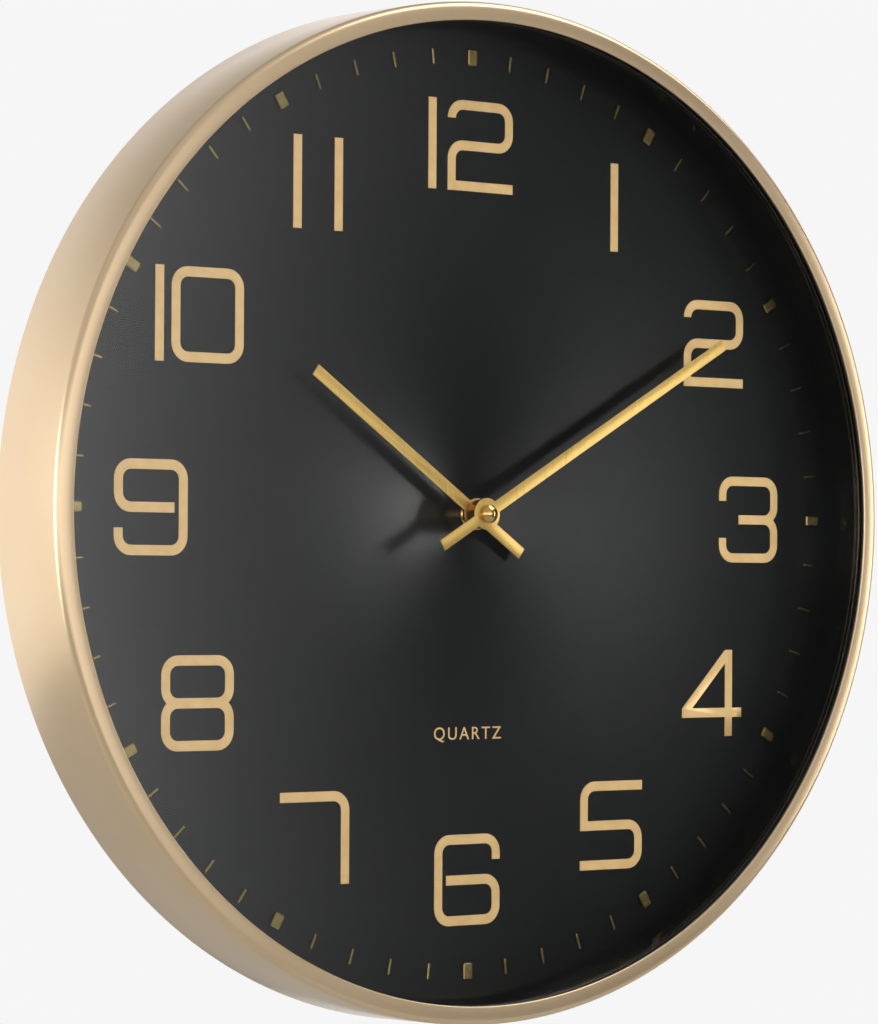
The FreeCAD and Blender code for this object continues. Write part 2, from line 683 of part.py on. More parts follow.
# Back cover with the movement window, the hanger opening and six screw holes.
coverRadius = "(%s - coverPlay)" % caseSide("0", "sheetWall")
screwCircle = "(%s - screwInset)" % caseSide("0", "sheetWall")
hangerRise = "(rearRadius - hangerDrop)"
keyRise = joined(hangerRise, "-slotRise / 2")
slotTop = joined(hangerRise, "slotRise / 2")
screwAngles = [30 + 60 * turn for turn in range(6)]
screwSpots = []
for angle in screwAngles:
    screwSpots.append(("%s * sin(%d)" % (screwCircle, angle), "%s * cos(%d)" % (screwCircle, angle)))
coverWires = [disc(coverRadius), square(joined(half, "windowGap"))]
coverWires.append(rectangle("-(keyRadius + hangerGap)", "%s - keyRadius - hangerGap" % keyRise,
                            "keyRadius + hangerGap", "%s + slotHalf + hangerGap" % slotTop))
rivetSpots = []
for side in (-1, 1):
    for end in (-1, 1):
        rivetSpots.append(("%d * (hangerWidth / 2 - rivetInset)" % side,
                           "%s + %d * (hangerHeight / 2 - rivetInset)" % (hangerRise, end)))
for x, z in screwSpots:
    coverWires.append(disc("screwRadius + holePlay", x, z))
for x, z in rivetSpots:
    coverWires.append(disc("rivetRadius", x, z))
plate("back_cover", [(coverWires, "coverRecess", "coverThick")])

# Hanger plate on the inside of the back cover, with its keyhole and rivets.
hanger = plate("hanger_plate", [(
    [rectangle("-hangerWidth / 2", joined(hangerRise, "-hangerHeight / 2"),
               "hangerWidth / 2", joined(hangerRise, "hangerHeight / 2"))]
    + [disc("rivetRadius", x, z) for x, z in rivetSpots],
    coverFront, "hangerThick")])


def cutThrough(body, wires):
    """Cuts wires through the whole body, along the axis."""
    sketch = newSketch(body, "XZ_Plane")
    drawWires(sketch, wires)
    before = body.Shape.Volume
    pocket = body.newObject("PartDesign::Pocket", body.Name + "_pocket")
    pocket.Profile = sketch
    pocket.Reversed = True
    pocket.Type = "ThroughAll"
    doc.recompute()
    if body.Shape.Volume >= before:
        raise RuntimeError(body.Label + ": the pocket cut nothing")


cutThrough(hanger, [disc("keyRadius", "0", keyRise)])
cutThrough(hanger, [rectangle("-slotHalf", keyRise, "slotHalf", slotTop)])
cutThrough(hanger, [disc("slotHalf", "0", slotTop)])


def grouped(label, parts):
    """One node of several equal solids, given as (primitive's name, solid) parts."""
    group = doc.addObject("Part::Compound", "Group_" + label)
    group.Label = label
    group.Links = parts


def peg(name, x, z, start, sections):
    """A headed pin along the axis: (radius, length) sections from height start."""
    rods = []
    for number, (radius, length) in enumerate(sections):
        item = doc.addObject("Part::Cylinder", "%s_%d" % (name, number))
        item.Placement = FreeCAD.Placement(Vector(), FreeCAD.Rotation(Vector(1, 0, 0), 90))
        item.setExpression("Radius", bound(radius))
        item.setExpression("Height", bound(length))
        item.setExpression("Placement.Base.x", bound(x))
        item.setExpression("Placement.Base.y", bound("-(%s)" % start))
        item.setExpression("Placement.Base.z", bound(z))
        rods.append(item)
        start = joined(start, length)
    fused = doc.addObject("Part::MultiFuse", name)
    fused.Shapes = rods
    return fused


pegs = []
for number, (x, z) in enumerate(rivetSpots):
    pegs.append(peg("Rivet%d" % number, x, z, "coverRecess - rivetHeadThick", [
        ("rivetHead", "rivetHeadThick"), ("rivetRadius", "coverThick + hangerThick"),
        ("rivetHead", "rivetHeadThick")]))
grouped("hanger_rivets", pegs)
pegs = []
for number, (x, z) in enumerate(screwSpots):
    pegs.append(peg("CoverScrew%d" % number, x, z, "coverRecess - headThick", [
        ("screwHead", "headThick"), ("screwRadius", "screwLength")]))
grouped("back_cover_screws", pegs)


# Lugs spot-welded inside the case, one under each cover screw.
def lugShape(angle):
    rear, front = value(coverFront), value("%s + lugHeight" % coverFront)
    thick = value("lugThick")
    outline = [
        (value(caseSide(coverFront, "sheetWall")), rear),
        (value(caseSide("%s + lugHeight" % coverFront, "sheetWall")), front),
        (value(caseSide("%s + lugHeight" % coverFront, "sheetWall + lugThick")), front),
        (value(caseSide("%s + lugThick" % coverFront, "sheetWall + lugThick")), rear + thick),
        (value(caseSide(coverFront, "sheetWall + lugFoot")), rear + thick),
        (value(caseSide(coverFront, "sheetWall + lugFoot")), rear),
    ]
    corners = [Vector(radius, -height, 0) for radius, height in outline]
    face = Part.Face(Part.makePolygon(corners + corners[:1]))
    face.rotate(Vector(), Vector(0, 1, 0), angle - 90 - value("lugAngle") / 2)
    lug = face.revolve(Vector(), Vector(0, 1, 0), value("lugAngle"))
    away = Vector(math.sin(math.radians(angle)), 0, math.cos(math.radians(angle)))
    hole = away * value(screwCircle)
    return lug.cut(rod(value("screwRadius"), rear - beyond, front, hole.x, hole.z))


feature("mounting_lugs", Part.makeCompound([lugShape(angle) for angle in screwAngles]))

# Housing: front wall, gear chamber and battery bay.
bayTop = "(%s - %s)" % (bayWidth, inside)
chamberFloor = joined(bayTop, "dividerWall")
bayWire = rectangle("-" + inside, "-" + inside, inside, bayTop)
chamberWire = rectangle("-" + inside, chamberFloor, inside, inside)
postSpots = [
    ("%s - postInset" % inside, "%s - postInset" % inside),
    ("%s - postInset" % inside, "%s + postInset" % chamberFloor),
    ("postInset - %s" % inside, "%s + postInset" % chamberFloor),
]
pivotHole = "(pivotRadius + runningGap)"
pocketWires = [disc(pivotHole, x, z) for x, z in pivotSpots + [knobSpot]]
postWires = []
for x, z in postSpots:
    postWires += [disc("postRadius", x, z), disc("postScrew", x, z)]
plate("movement_housing", [
    ([square(half), disc(bushRadius)], bayFront, "bayFloor"),
    ([square(half), bayWire, disc(bushFlange)] + pocketWires, chamberFront, "frontWall - bayFloor"),
    ([square(half), bayWire, chamberWire] + postWires, lidFront, "%s - %s" % (chamberFront, lidFront)),
    ([square(half), bayWire, chamberWire], "movementRear", "lidThick"),
])

wellFloor = "(movementRear + knobWell)"
lidWire = rectangle("lidPlay - " + inside, "%s + lidPlay" % chamberFloor,
                    inside + " - lidPlay", inside + " - lidPlay")
plate("movement_lid", [
    ([lidWire, disc(wellRadius, *knobSpot)] + [disc(pivotHole, x, z) for x, z in pivotSpots]
     + [disc(pivotHole, *axisSpot)] + [disc("postScrew", x, z) for x, z in postSpots],
     "movementRear", "lidThick"),
    ([disc(wellWall, *knobSpot), disc(wellRadius, *knobSpot)], lidFront, "knobWell - lidThick"),
    ([disc(wellWall, *knobSpot), disc("knobShaft + runningGap", *knobSpot)], wellFloor, "lidThick / 2"),
])
pegs = []
for number, (x, z) in enumerate(postSpots):
    pegs.append(peg("HousingScrew%d" % number, x, z, "movementRear - postHeadThick", [
        ("postHead", "postHeadThick"), ("postScrew", "postScrewLength")]))
grouped("housing_screws", pegs)

# What clamps the movement to the dial.
bushFront = joined(dialFace, "bushStand")
flangeThick = "(frontWall - bayFloor)"
plate("centre_bush", [
    ([disc(bushFlange), disc(pipeBore)], chamberFront, flangeThick),
    ([disc(bushRadius), disc(pipeBore)], bayFront, "%s - %s" % (bushFront, bayFront)),
])
ring("dial_washer", joined(bushRadius, "washerWidth"), bushRadius, housingFront, "washerThick")
ring("brass_washer", nutRadius, bushRadius, dialFace, "nutWasher")
nutRear = joined(dialFace, "nutWasher")
nut = ring("fixing_nut", nutRadius, bushRadius, nutRear, "nutThick")
roundEdges(nut, [(nutRadius, joined(nutRear, "nutThick"), "nutThick / 6")])

# Hands and the pieces that carry them.
hourFront = joined(hourRear, "handThick")
minuteFront = joined(minuteRear, "handThick")
collarRear = joined(bushFront, "axialGap")
neckFront = joined(hourFront, "handThick")


def batonHand(label, rear, length, tail, width, hole, angle):
    bar = rectangle("-%s / 2" % width, "-" + tail, "%s / 2" % width, length)
    hand = plate(label, [([bar], rear, "handThick"), ([disc(hubRadius)], rear, "handThick")])
    cutThrough(hand, [disc(hole)])
    hand.Placement = FreeCAD.Placement(Vector(), FreeCAD.Rotation(Vector(0, 1, 0), value(angle)))
    hand.setExpression("Placement.Rotation.Angle", bound(angle))


batonHand("hour_hand", hourRear, "hourLength", "hourTail", "hourWidth", hourNeck, "hourAngle")
batonHand("minute_hand", minuteRear, "minuteLength", "minuteTail", "minuteWidth", arborShoulder,
          "minuteAngle")
plate("hour_hand_collar", [
    ([disc(hourCollar), disc(pipeRadius)], collarRear, "%s - %s" % (hourRear, collarRear)),
    ([disc(hourNeck), disc(pipeRadius)], hourRear, "%s - %s" % (neckFront, hourRear)),
])
barrelRear = joined(hourFront, "axialGap")
barrelFloor = joined(neckFront, "axialGap")
plate("minute_hand_collar", [
    ([disc(barrelRadius), disc(barrelBore)], barrelRear, "%s - %s" % (barrelFloor, barrelRear)),
    ([disc(barrelRadius), disc("arborRadius")], barrelFloor, "%s - %s" % (minuteRear, barrelFloor)),
])
threadDepth = "(capThick - capDome)"
cap = plate("cap_nut", [
    ([disc(capRadius), disc(arborThread)], minuteFront, threadDepth),
    ([disc(capRadius)], joined(minuteFront, threadDepth), "capDome"),
])
roundEdges(cap, [(capRadius, joined(minuteFront, "capThick"), "capDome * 0.95")])


# Gears.
def toothedDisc(name, module, start, end, phase=0.0):
    """A gear of the named tooth count, on the hands' axis, with a tooth at the angle phase."""
    count = teeth[name]
    tooth = pinionTooth if name == "cannon" or name == "setting" or "Pinion" in name else wheelTooth
    size = value(module)
    pitchRadius = count * size / 2
    pitch = 2 * math.pi / count
    profile = [
        (pitchRadius - tooth["below"] * size, -tooth["root"]),
        (pitchRadius, -tooth["pitch"]),
        (pitchRadius + tooth["above"] * size, -tooth["tip"]),
        (pitchRadius + tooth["above"] * size, tooth["tip"]),
        (pitchRadius, tooth["pitch"]),
        (pitchRadius - tooth["below"] * size, tooth["root"]),
    ]
    points = []
    for number in range(count):
        for radius, share in profile:
            angle = math.radians(phase) + (number + share) * pitch
            points.append(Vector(radius * math.cos(angle), 0, radius * math.sin(angle)))
    face = Part.Face(Part.makePolygon(points + points[:1]))
    return extruded(face, value(start), value(end) - value(start))


def meshPhase(first, phase, second, direction):
    """Phase of a gear that meshes with the first, which lies the other way along direction."""
    ratio = teeth[first] / teeth[second]
    return direction + 180 + 180 / teeth[second] + (direction - phase) * ratio


def shaft(radius, start, end):
    return rod(value(radius), value(start), value(end))


def gearFeature(label, place, solids, bore=None):
    """Fuses a gear's solids, made on the hands' axis, and puts it on its own axis."""
    shape = solids[0].fuse(solids[1:])
    if bore:
        shape = shape.cut(bore)
    x, z = value(place[0]), value(place[1])
    feature(label, shape.removeSplitter(), FreeCAD.Placement(Vector(x, 0, z), FreeCAD.Rotation()))


# The gears' layers, each from the one in front of it.
hourLayer = joined(chamberFront, "-wheelGap", "-hourWheelThick")
motionLayer = joined(hourLayer, "-axialGap", "-motionThick")
motionFront = joined(motionLayer, "motionThick")
cannonFront = joined(hourLayer, "-wheelGap")
cannonLayer = joined(cannonFront, "-cannonThick")
centreLayer = joined(cannonLayer, "-clutchRoom", "-centreThick")
centreFront = joined(centreLayer, "centreThick")
hubRear = joined(centreLayer, "-centreHubThick")
thirdFront = joined(hubRear, "-pinionLap")
thirdLayer = joined(thirdFront, "-wheelThick")
secondFront = joined(thirdLayer, "-wheelStep")
secondLayer = joined(secondFront, "-wheelThick")
fifthFront = joined(secondLayer, "-wheelStep")
fifthLayer = joined(fifthFront, "-fifthThick")
magnetRear = joined(fifthFront, "magnetRise")
magnetFront = joined(magnetRear, "magnetThick")
pivotFront = joined(chamberFront, "%s - runningGap" % flangeThick)
pivotRear = "(movementRear + axialGap)"

hourModule = "(minuteModule * %g)" % (
    (teeth["cannon"] + teeth["motion"]) / (teeth["motionPinion"] + teeth["hour"]))
motionPhase = meshPhase("cannon", 0, "motion", value("motionAngle"))
settingPhase = meshPhase("motion", motionPhase, "setting", value("knobAngle"))
hourPhase = meshPhase("motionPinion", 0, "hour", value("motionAngle") + 180)
thirdPhase = meshPhase("centre", 0, "thirdPinion", value("thirdAngle"))
secondPhase = meshPhase("third", 0, "secondPinion", value("secondAngle"))
fifthPhase = meshPhase("second", 0, "fifthPinion", value("fifthAngle"))
rotorPhase = meshPhase("fifth", 0, "rotorPinion", value("rotorAngle"))

gearFeature("minute_arbor", axisSpot, [
    shaft("pivotRadius", pivotRear, hubRear),
    shaft("arborRadius", hubRear, minuteRear),
    shaft(arborShoulder, minuteRear, minuteFront),
    shaft(arborThread, minuteFront, joined(minuteFront, threadDepth, "-threadPlay")),
    toothedDisc("cannon", "minuteModule", cannonLayer, cannonFront),
])
gearFeature("hour_wheel", axisSpot, [
    toothedDisc("hour", hourModule, hourLayer, joined(hourLayer, "hourWheelThick"), hourPhase),
    shaft(pipeRadius, hourLayer, neckFront),
], rod(value(arborBore), value(hourLayer) - beyond, value(neckFront) + beyond))
gearFeature("motion_wheel", motionSpot, [
    toothedDisc("motion", "minuteModule", motionLayer, motionFront, motionPhase),
    toothedDisc("motionPinion", hourModule, motionFront, joined(chamberFront, "-wheelGap")),
    shaft("pivotRadius", pivotRear, pivotFront),
])
knobFront = joined(pivotRear, "knobThick")
settingRear = joined(motionLayer, "-pinionLap")
gearFeature("setting_knob", knobSpot, [
    shaft("knobRadius", pivotRear, knobFront),
    shaft("knobShaft", knobFront, settingRear),
    toothedDisc("setting", "minuteModule", settingRear, joined(motionFront, "pinionLap"), settingPhase),
    shaft("pivotRadius", settingRear, pivotFront),
])
gearFeature("centre_wheel", axisSpot, [
    toothedDisc("centre", "goingModule", centreLayer, centreFront),
    shaft("arborRadius + centreHubWall", hubRear, centreLayer),
], rod(value(arborBore), value(hubRear) - beyond, value(centreFront) + beyond))
gearFeature("third_wheel", thirdSpot, [
    toothedDisc("third", "fineModule", thirdLayer, thirdFront),
    toothedDisc("thirdPinion", "goingModule", thirdFront, joined(centreFront, "axialGap"), thirdPhase),
    shaft("pivotRadius", pivotRear, pivotFront),
])
gearFeature("second_wheel", secondSpot, [
    toothedDisc("second", "fineModule", secondLayer, secondFront),
    toothedDisc("secondPinion", "fineModule", secondFront, joined(thirdFront, "pinionLap"), secondPhase),
    shaft("pivotRadius", pivotRear, pivotFront),
])
gearFeature("fifth_wheel", fifthSpot, [
    toothedDisc("fifth", "rotorModule", fifthLayer, fifthFront),
    toothedDisc("fifthPinion", "fineModule", fifthFront, joined(secondFront, "pinionLap"), fifthPhase),
    shaft("pivotRadius", pivotRear, pivotFront),
])
gearFeature("rotor", rotorSpot, [
    toothedDisc("rotorPinion", "rotorModule", joined(fifthLayer, "-pinionLap"),
                joined(fifthFront, "pinionLap"), rotorPhase),
    shaft("magnetRadius", magnetRear, magnetFront),
    shaft("pivotRadius", pivotRear, pivotFront),
])

# Dished spring washer that grips the minute arbor, driven by the centre wheel.
clutchRear = joined(centreFront, "runningGap")
neckRear = joined(clutchRear, "clutchDish")
neckRadius = "(arborRadius + clutchNeck)"
turned("clutch_spring", [
    ("clutchRadius", clutchRear), ("clutchRadius", joined(clutchRear, "clutchThick")),
    (neckRadius, joined(neckRear, "clutchThick")), ("arborRadius", joined(neckRear, "clutchThick")),
    ("arborRadius", neckRear), (neckRadius, neckRear),
])


def bar(low, high, start, thickness):
    """A flat bar between two corners (x, z), from height start."""
    return Part.makeBox(high[0] - low[0], thickness, high[1] - low[1],
                        Vector(low[0], -start - thickness, low[1]))


# Stepping motor: stator plate round the rotor, coil core, bobbin and winding.
def makeMotor():
    thick = value("statorThick")
    arm = value("statorArm")
    coreHalf = value("coreWidth / 2")
    tube = value("bobbinTube")
    end = value("bobbinEnd")
    rotorX, rotorZ = value(rotorSpot[0]), value(rotorSpot[1])
    hole = value("magnetRadius + airGap")
    start = value("%s + (magnetThick - statorThick) / 2" % magnetRear)
    coilX = value("coilFlange + coilPlay - %s" % inside)
    coilTop = value("%s - coilInset" % inside)
    coilBottom = coilTop - value("coilLength")
    wall = hole + value("statorWall")
    blockLow = (rotorX - wall, rotorZ - wall)
    blockHigh = (rotorX + hole + value("statorNeck"), coilTop + arm)
    stator = bar(blockLow, blockHigh, start, thick).fuse([
        bar((coilX - coreHalf, coilTop), blockHigh, start, thick),
        bar((coilX - coreHalf, coilBottom - arm), (blockLow[0], coilBottom), start, thick),
    ])
    stator = stator.cut(rod(hole, start - beyond, start + thick + beyond, rotorX, rotorZ))
    feature("stator", stator.removeSplitter())
    core = bar((coilX - coreHalf, coilBottom - arm), (coilX + coreHalf, coilTop + arm), start + thick, thick)
    feature("coil_core", core)
    depth = -(start + 1.5 * thick)
    bobbin = Part.makeCylinder(tube, coilTop - coilBottom, Vector(coilX, depth, coilBottom))
    for low in (coilBottom, coilTop - end):
        flange = Part.makeCylinder(value("coilFlange"), end, Vector(coilX, depth, low))
        bobbin = bobbin.fuse(flange)
    feature("coil_bobbin", bobbin.cut(core).removeSplitter())
    length = coilTop - coilBottom - 2 * end
    base = Vector(coilX, depth, coilBottom + end)
    winding = Part.makeCylinder(value("coilRadius"), length, base)
    feature("coil_winding", winding.cut(Part.makeCylinder(tube, length, base)))


# Circuit board on the chamber's front wall, between two posts, with its chip and quartz crystal.
def makeBoard():
    right = value("%s - boardPlay" % inside)
    left = right - value("boardWidth")
    margin = value("postInset + postRadius + boardPlay")
    bottom, top = value(chamberFloor) + margin, value(inside) - margin
    rear = value("%s - boardThick" % chamberFront)
    feature("circuit_board", bar((left, bottom), (right, top), rear, value("boardThick")))
    chip = rod(value("chipRadius"), rear - value("chipThick"), rear, (left + right) / 2,
               top - value("chipDrop"))
    feature("timing_chip", chip)
    canRadius = value("crystalRadius")
    base = Vector(right - value("crystalInset"), canRadius - rear, bottom + value("crystalRise"))
    feature("quartz_crystal", Part.makeCylinder(canRadius, value("crystalLength"), base))


# Cell in its bay, and the contacts at the bay's ends.
def makeCell():
    along = Vector(1, 0, 0)
    height = value("%s - batteryRadius - cellPlay" % bayFront)
    middle = value("(%s - %s) / 2" % (bayTop, inside))
    strip = value("contactThick")
    touch = value("contactTouch")
    wall = value(inside)
    nubEnd = wall - strip - value("frontSpring")
    shoulderX = nubEnd - value("nubLength")
    rearX = shoulderX - value("batteryLength")
    can = Part.makeCylinder(value("batteryRadius"), value("batteryLength"),
                            Vector(rearX, -height, middle), along)
    nub = Part.makeCylinder(value("nubRadius"), value("nubLength"),
                            Vector(shoulderX, -height, middle), along)
    feature("battery", can.fuse(nub).removeSplitter())
    reach = value("contactWidth / 2")
    low, tall = height - value("contactHeight / 2"), value("contactHeight")
    foot, tip = value("dimpleRadius"), value("dimpleTip")
    frontX = wall - strip
    dimple = Part.makeCone(foot, tip, frontX - nubEnd - touch, Vector(frontX, -height, middle), -along)
    plateFront = bar((frontX, middle - reach), (wall, middle + reach), low, tall)
    feature("positive_contact", plateFront.fuse(dimple).removeSplitter())
    backX = strip - wall
    dimple = Part.makeCone(foot, tip, rearX - backX - touch, Vector(backX, -height, middle), along)
    plateRear = bar((-wall, middle - reach), (backX, middle + reach), low, tall)
    feature("negative_contact", plateRear.fuse(dimple).removeSplitter())


makeMotor()
makeBoard()
makeCell()

# Checks, then one file for each sub-part.
doc.recompute()
nodes = []
for item in doc.Objects:
    if any(state in item.State for state in ("Invalid", "Error")):
        raise RuntimeError("%s is %s" % (item.Label, item.State))
    if item.Name.startswith(("Body_", "Solid_", "Group_")) and item.Label != item.Name:
        nodes.append(item)
for item in nodes:
    if item.Shape.isNull() or not item.Shape.isValid() or not item.Shape.Solids:
        raise RuntimeError(item.Label + " has no valid solid")
os.makedirs("parts", exist_ok=True)
for item in nodes:
    item.Shape.exportStep(os.path.join("parts", item.Label + ".step"))
    print("%-20s %2d solids %10.1f mm3" % (item.Label, len(item.Shape.Solids), item.Shape.Volume))
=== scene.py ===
import bpy
import bmesh
import math
from mathutils import Matrix, Vector


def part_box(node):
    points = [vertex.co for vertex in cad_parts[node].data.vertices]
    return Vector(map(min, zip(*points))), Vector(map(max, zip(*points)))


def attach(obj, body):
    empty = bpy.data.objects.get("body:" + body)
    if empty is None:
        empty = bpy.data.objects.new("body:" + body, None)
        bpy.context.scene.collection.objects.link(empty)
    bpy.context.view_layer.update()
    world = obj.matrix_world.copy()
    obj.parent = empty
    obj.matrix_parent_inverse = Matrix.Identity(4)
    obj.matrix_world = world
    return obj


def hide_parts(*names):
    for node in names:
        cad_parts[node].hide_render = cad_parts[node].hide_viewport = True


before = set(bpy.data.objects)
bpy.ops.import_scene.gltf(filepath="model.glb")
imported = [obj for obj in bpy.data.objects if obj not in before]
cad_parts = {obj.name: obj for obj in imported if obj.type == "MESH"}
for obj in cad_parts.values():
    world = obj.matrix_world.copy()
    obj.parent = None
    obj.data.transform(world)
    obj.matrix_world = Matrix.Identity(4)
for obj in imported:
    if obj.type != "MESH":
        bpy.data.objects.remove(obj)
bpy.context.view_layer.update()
mm = 0.001
print("frame loaded")

# Pieces are modelled lying on their backs, with +Z out of the wall, and stood up when they are finished.
standUp = Matrix.Rotation(math.radians(90), 4, "X")
turnSteps = 256   # facets round the large rings
smallSteps = 64   # facets round knobs, nuts and pins
weld = 1e-7       # metres, points closer than this are one
cadWeld = 1e-6    # metres, the same for the frame's own triangles
flatWithin = math.radians(0.5)   # triangles nearer to flat than this are one face
sharpFrom = math.radians(40)     # edges bent more than this are softened


# Measures taken from the frame

def ringOf(node):
    # inner and outer radius, back and front height of a node round the hands' axis
    places = [vertex.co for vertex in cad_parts[node].data.vertices]
    radii = [math.hypot(place.x, place.z) for place in places]
    heights = [-place.y for place in places]
    return min(radii), max(radii), min(heights), max(heights)


def middleOf(node):
    low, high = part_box(node)
    return (low + high) / 2


# Materials

def linear(hexColour):
    channels = [int(hexColour[place:place + 2], 16) / 255 for place in (1, 3, 5)]
    return [c / 12.92 if c <= 0.04045 else ((c + 0.055) / 1.055) ** 2.4 for c in channels] + [1.0]


def addNode(tree, kind, settings=None, inputs=None):
    node = tree.nodes.new(kind)
    for name, value in (settings or {}).items():
        setattr(node, name, value)
    for name, value in (inputs or {}).items():
        if isinstance(value, bpy.types.NodeSocket):
            tree.links.new(value, node.inputs[name])
        else:
            node.inputs[name].default_value = value
    return node


def startMaterial(name):
    material = bpy.data.materials.new(name)
    material.use_nodes = True
    material.node_tree.nodes.clear()
    return material, material.node_tree


def finishMaterial(material, shader):
    tree = material.node_tree
    addNode(tree, "ShaderNodeOutputMaterial", inputs={"Surface": shader})
    return material


def objectPlace(tree, turn=(0, 0, 0), stretch=(1, 1, 1)):
    place = addNode(tree, "ShaderNodeTexCoord")
    mapping = addNode(tree, "ShaderNodeMapping", inputs={
        "Vector": place.outputs["Object"], "Rotation": turn, "Scale": stretch})
    return mapping.outputs["Vector"]


def twoTone(tree, factor, first, second, low=0.35, high=0.65):
    ramp = addNode(tree, "ShaderNodeValToRGB", inputs={"Fac": factor})
    ramp.color_ramp.elements[0].position = low
    ramp.color_ramp.elements[1].position = high
    ramp.color_ramp.elements[0].color = linear(first)
    ramp.color_ramp.elements[1].color = linear(second)
    return ramp.outputs["Color"]


def grainBump(tree, height, depth, strength=1.0):
    bump = addNode(tree, "ShaderNodeBump", inputs={
        "Height": height, "Distance": depth, "Strength": strength})
    return bump.outputs["Normal"]


def plainFinish(name, facts):
    # one surface with a cloudy colour, a fine grain that breaks its gloss, and a shallow relief
    material, tree = startMaterial(name)
    place = objectPlace(tree, facts.get("turn", (0, 0, 0)), facts.get("stretch", (1, 1, 1)))
    cloud = addNode(tree, "ShaderNodeTexNoise", inputs={
        "Vector": place, "Scale": 1 / (facts["cloud"] * mm), "Detail": 4.0})
    grain = addNode(tree, "ShaderNodeTexNoise", inputs={
        "Vector": place, "Scale": 1 / (facts["grain"] * mm), "Detail": 3.0})
    rough = addNode(tree, "ShaderNodeMapRange", inputs={
        "Value": grain.outputs["Fac"], "From Min": 0.3, "From Max": 0.7,
        "To Min": facts["rough"][0], "To Max": facts["rough"][1]})
    shader = addNode(tree, "ShaderNodeBsdfPrincipled", inputs={
        "Base Color": twoTone(tree, cloud.outputs["Fac"], *facts["colours"]),
        "Roughness": rough.outputs["Result"],
        "Normal": grainBump(tree, grain.outputs["Fac"], facts["relief"] * mm),
        "Metallic": facts.get("metallic", 0.0),
        "Coat Weight": facts.get("coat", 0.0),
        "Coat Roughness": facts.get("coatRough", 0.05)})
    if "ior" in facts:
        shader.inputs["IOR"].default_value = facts["ior"]
    return finishMaterial(material, shader.outputs["BSDF"])


finishes = {
    # metallic lacquer on pressed steel: satin, warm, with a fine flake and a clear coat
    "champagneLacquer": {"colours": ("#d6bb96", "#d9bf9b"), "cloud": 45.0, "grain": 0.5,
                         "rough": (0.28, 0.31), "relief": 0.0008, "metallic": 0.85,
                         "coat": 0.3, "coatRough": 0.15},
    # gloss moulded ABS: deep black with a faint flow waviness
    "glossBlackPlastic": {"colours": ("#030303", "#050504"), "cloud": 30.0, "grain": 4.0,
                          "rough": (0.10, 0.16), "relief": 0.002, "ior": 1.4},
    # extruded rubber: dull, slightly dusty black
    "blackRubber": {"colours": ("#0d0d0d", "#151515"), "cloud": 5.0, "grain": 0.5,
                    "rough": (0.55, 0.7), "relief": 0.02, "ior": 1.5},
    # satin stoving paint on steel sheet: black with the fine orange peel of a sprayed coat
    "satinBlackPaint": {"colours": ("#040406", "#060608"), "cloud": 25.0, "grain": 0.45,
                        "rough": (0.19, 0.23), "relief": 0.0005, "ior": 1.42},
    # gold lacquer on thin etched metal: warm, satin, mostly even
    "goldFoil": {"colours": ("#e9be82", "#f0c88f"), "cloud": 6.0, "grain": 0.4,
                 "rough": (0.34, 0.46), "relief": 0.004, "metallic": 0.45},
    # diamond-cut gold anodised aluminium: mirror facets that are dark until they catch a lamp
    "cutGold": {"colours": ("#9f8a58", "#aa9562"), "cloud": 4.0, "grain": 0.3,
                "rough": (0.20, 0.28), "relief": 0.0008, "metallic": 1.0},
    # turned and polished brass, lacquered: clean reflections
    "polishedBrass": {"colours": ("#d9ad68", "#e3bc7c"), "cloud": 3.0, "grain": 0.35,
                      "rough": (0.07, 0.13), "relief": 0.001, "metallic": 1.0},
    # turned brass under a dull lacquer: soft; its base colour is darker and browner than the polished
    # brass as painted shade for the dark dial that it reflects
    "turnedBrassPaintedShade": {"colours": ("#c08d48", "#cc9c58"), "cloud": 3.0, "grain": 0.3,
                    "rough": (0.22, 0.32), "relief": 0.001, "metallic": 1.0},
    # black powder coat on steel: dull with an even pebbled texture
    "blackPowderCoat": {"colours": ("#17181a", "#1f2022"), "cloud": 20.0, "grain": 0.8,
                        "rough": (0.42, 0.6), "relief": 0.05, "ior": 1.5},
    # spark-eroded moulded ABS: dull black with a fine matt texture
    "mattBlackPlastic": {"colours": ("#101011", "#18181a"), "cloud": 8.0, "grain": 0.35,
                         "rough": (0.45, 0.6), "relief": 0.03, "ior": 1.5},
    # bright zinc plate on pressed steel: blue-grey and a little blotchy
    "zincPlate": {"colours": ("#a9adb0", "#c4c7c8"), "cloud": 4.0, "grain": 0.5,
                  "rough": (0.24, 0.4), "relief": 0.004, "metallic": 1.0},
    # hardened bright steel: cool grey, finely ground
    "brightSteel": {"colours": ("#b5b6b5", "#c9c9c7"), "cloud": 2.0, "grain": 0.2,
                    "rough": (0.18, 0.3), "relief": 0.002, "metallic": 1.0},
    # moulded acetal: milky white with a soft sheen
    "whiteAcetal": {"colours": ("#e3e0d4", "#ebe8de"), "cloud": 3.0, "grain": 0.3,
                    "rough": (0.3, 0.42), "relief": 0.004, "ior": 1.48},
    # sintered ferrite: dark grey and faintly grainy
    "sinteredFerrite": {"colours": ("#26272a", "#34353a"), "cloud": 0.8, "grain": 0.15,
                        "rough": (0.45, 0.65), "relief": 0.01, "metallic": 0.3},
    # potting compound: black and glassy where it flowed
    "blackEpoxy": {"colours": ("#070707", "#0d0d0c"), "cloud": 2.0, "grain": 0.9,
                   "rough": (0.12, 0.3), "relief": 0.02, "ior": 1.55},
    # nickel-plated strip and cans: bright with a faint warm cast
    "nickelPlate": {"colours": ("#c8c3b6", "#d6d2c7"), "cloud": 3.0, "grain": 0.3,
                    "rough": (0.12, 0.22), "relief": 0.002, "metallic": 1.0},
}


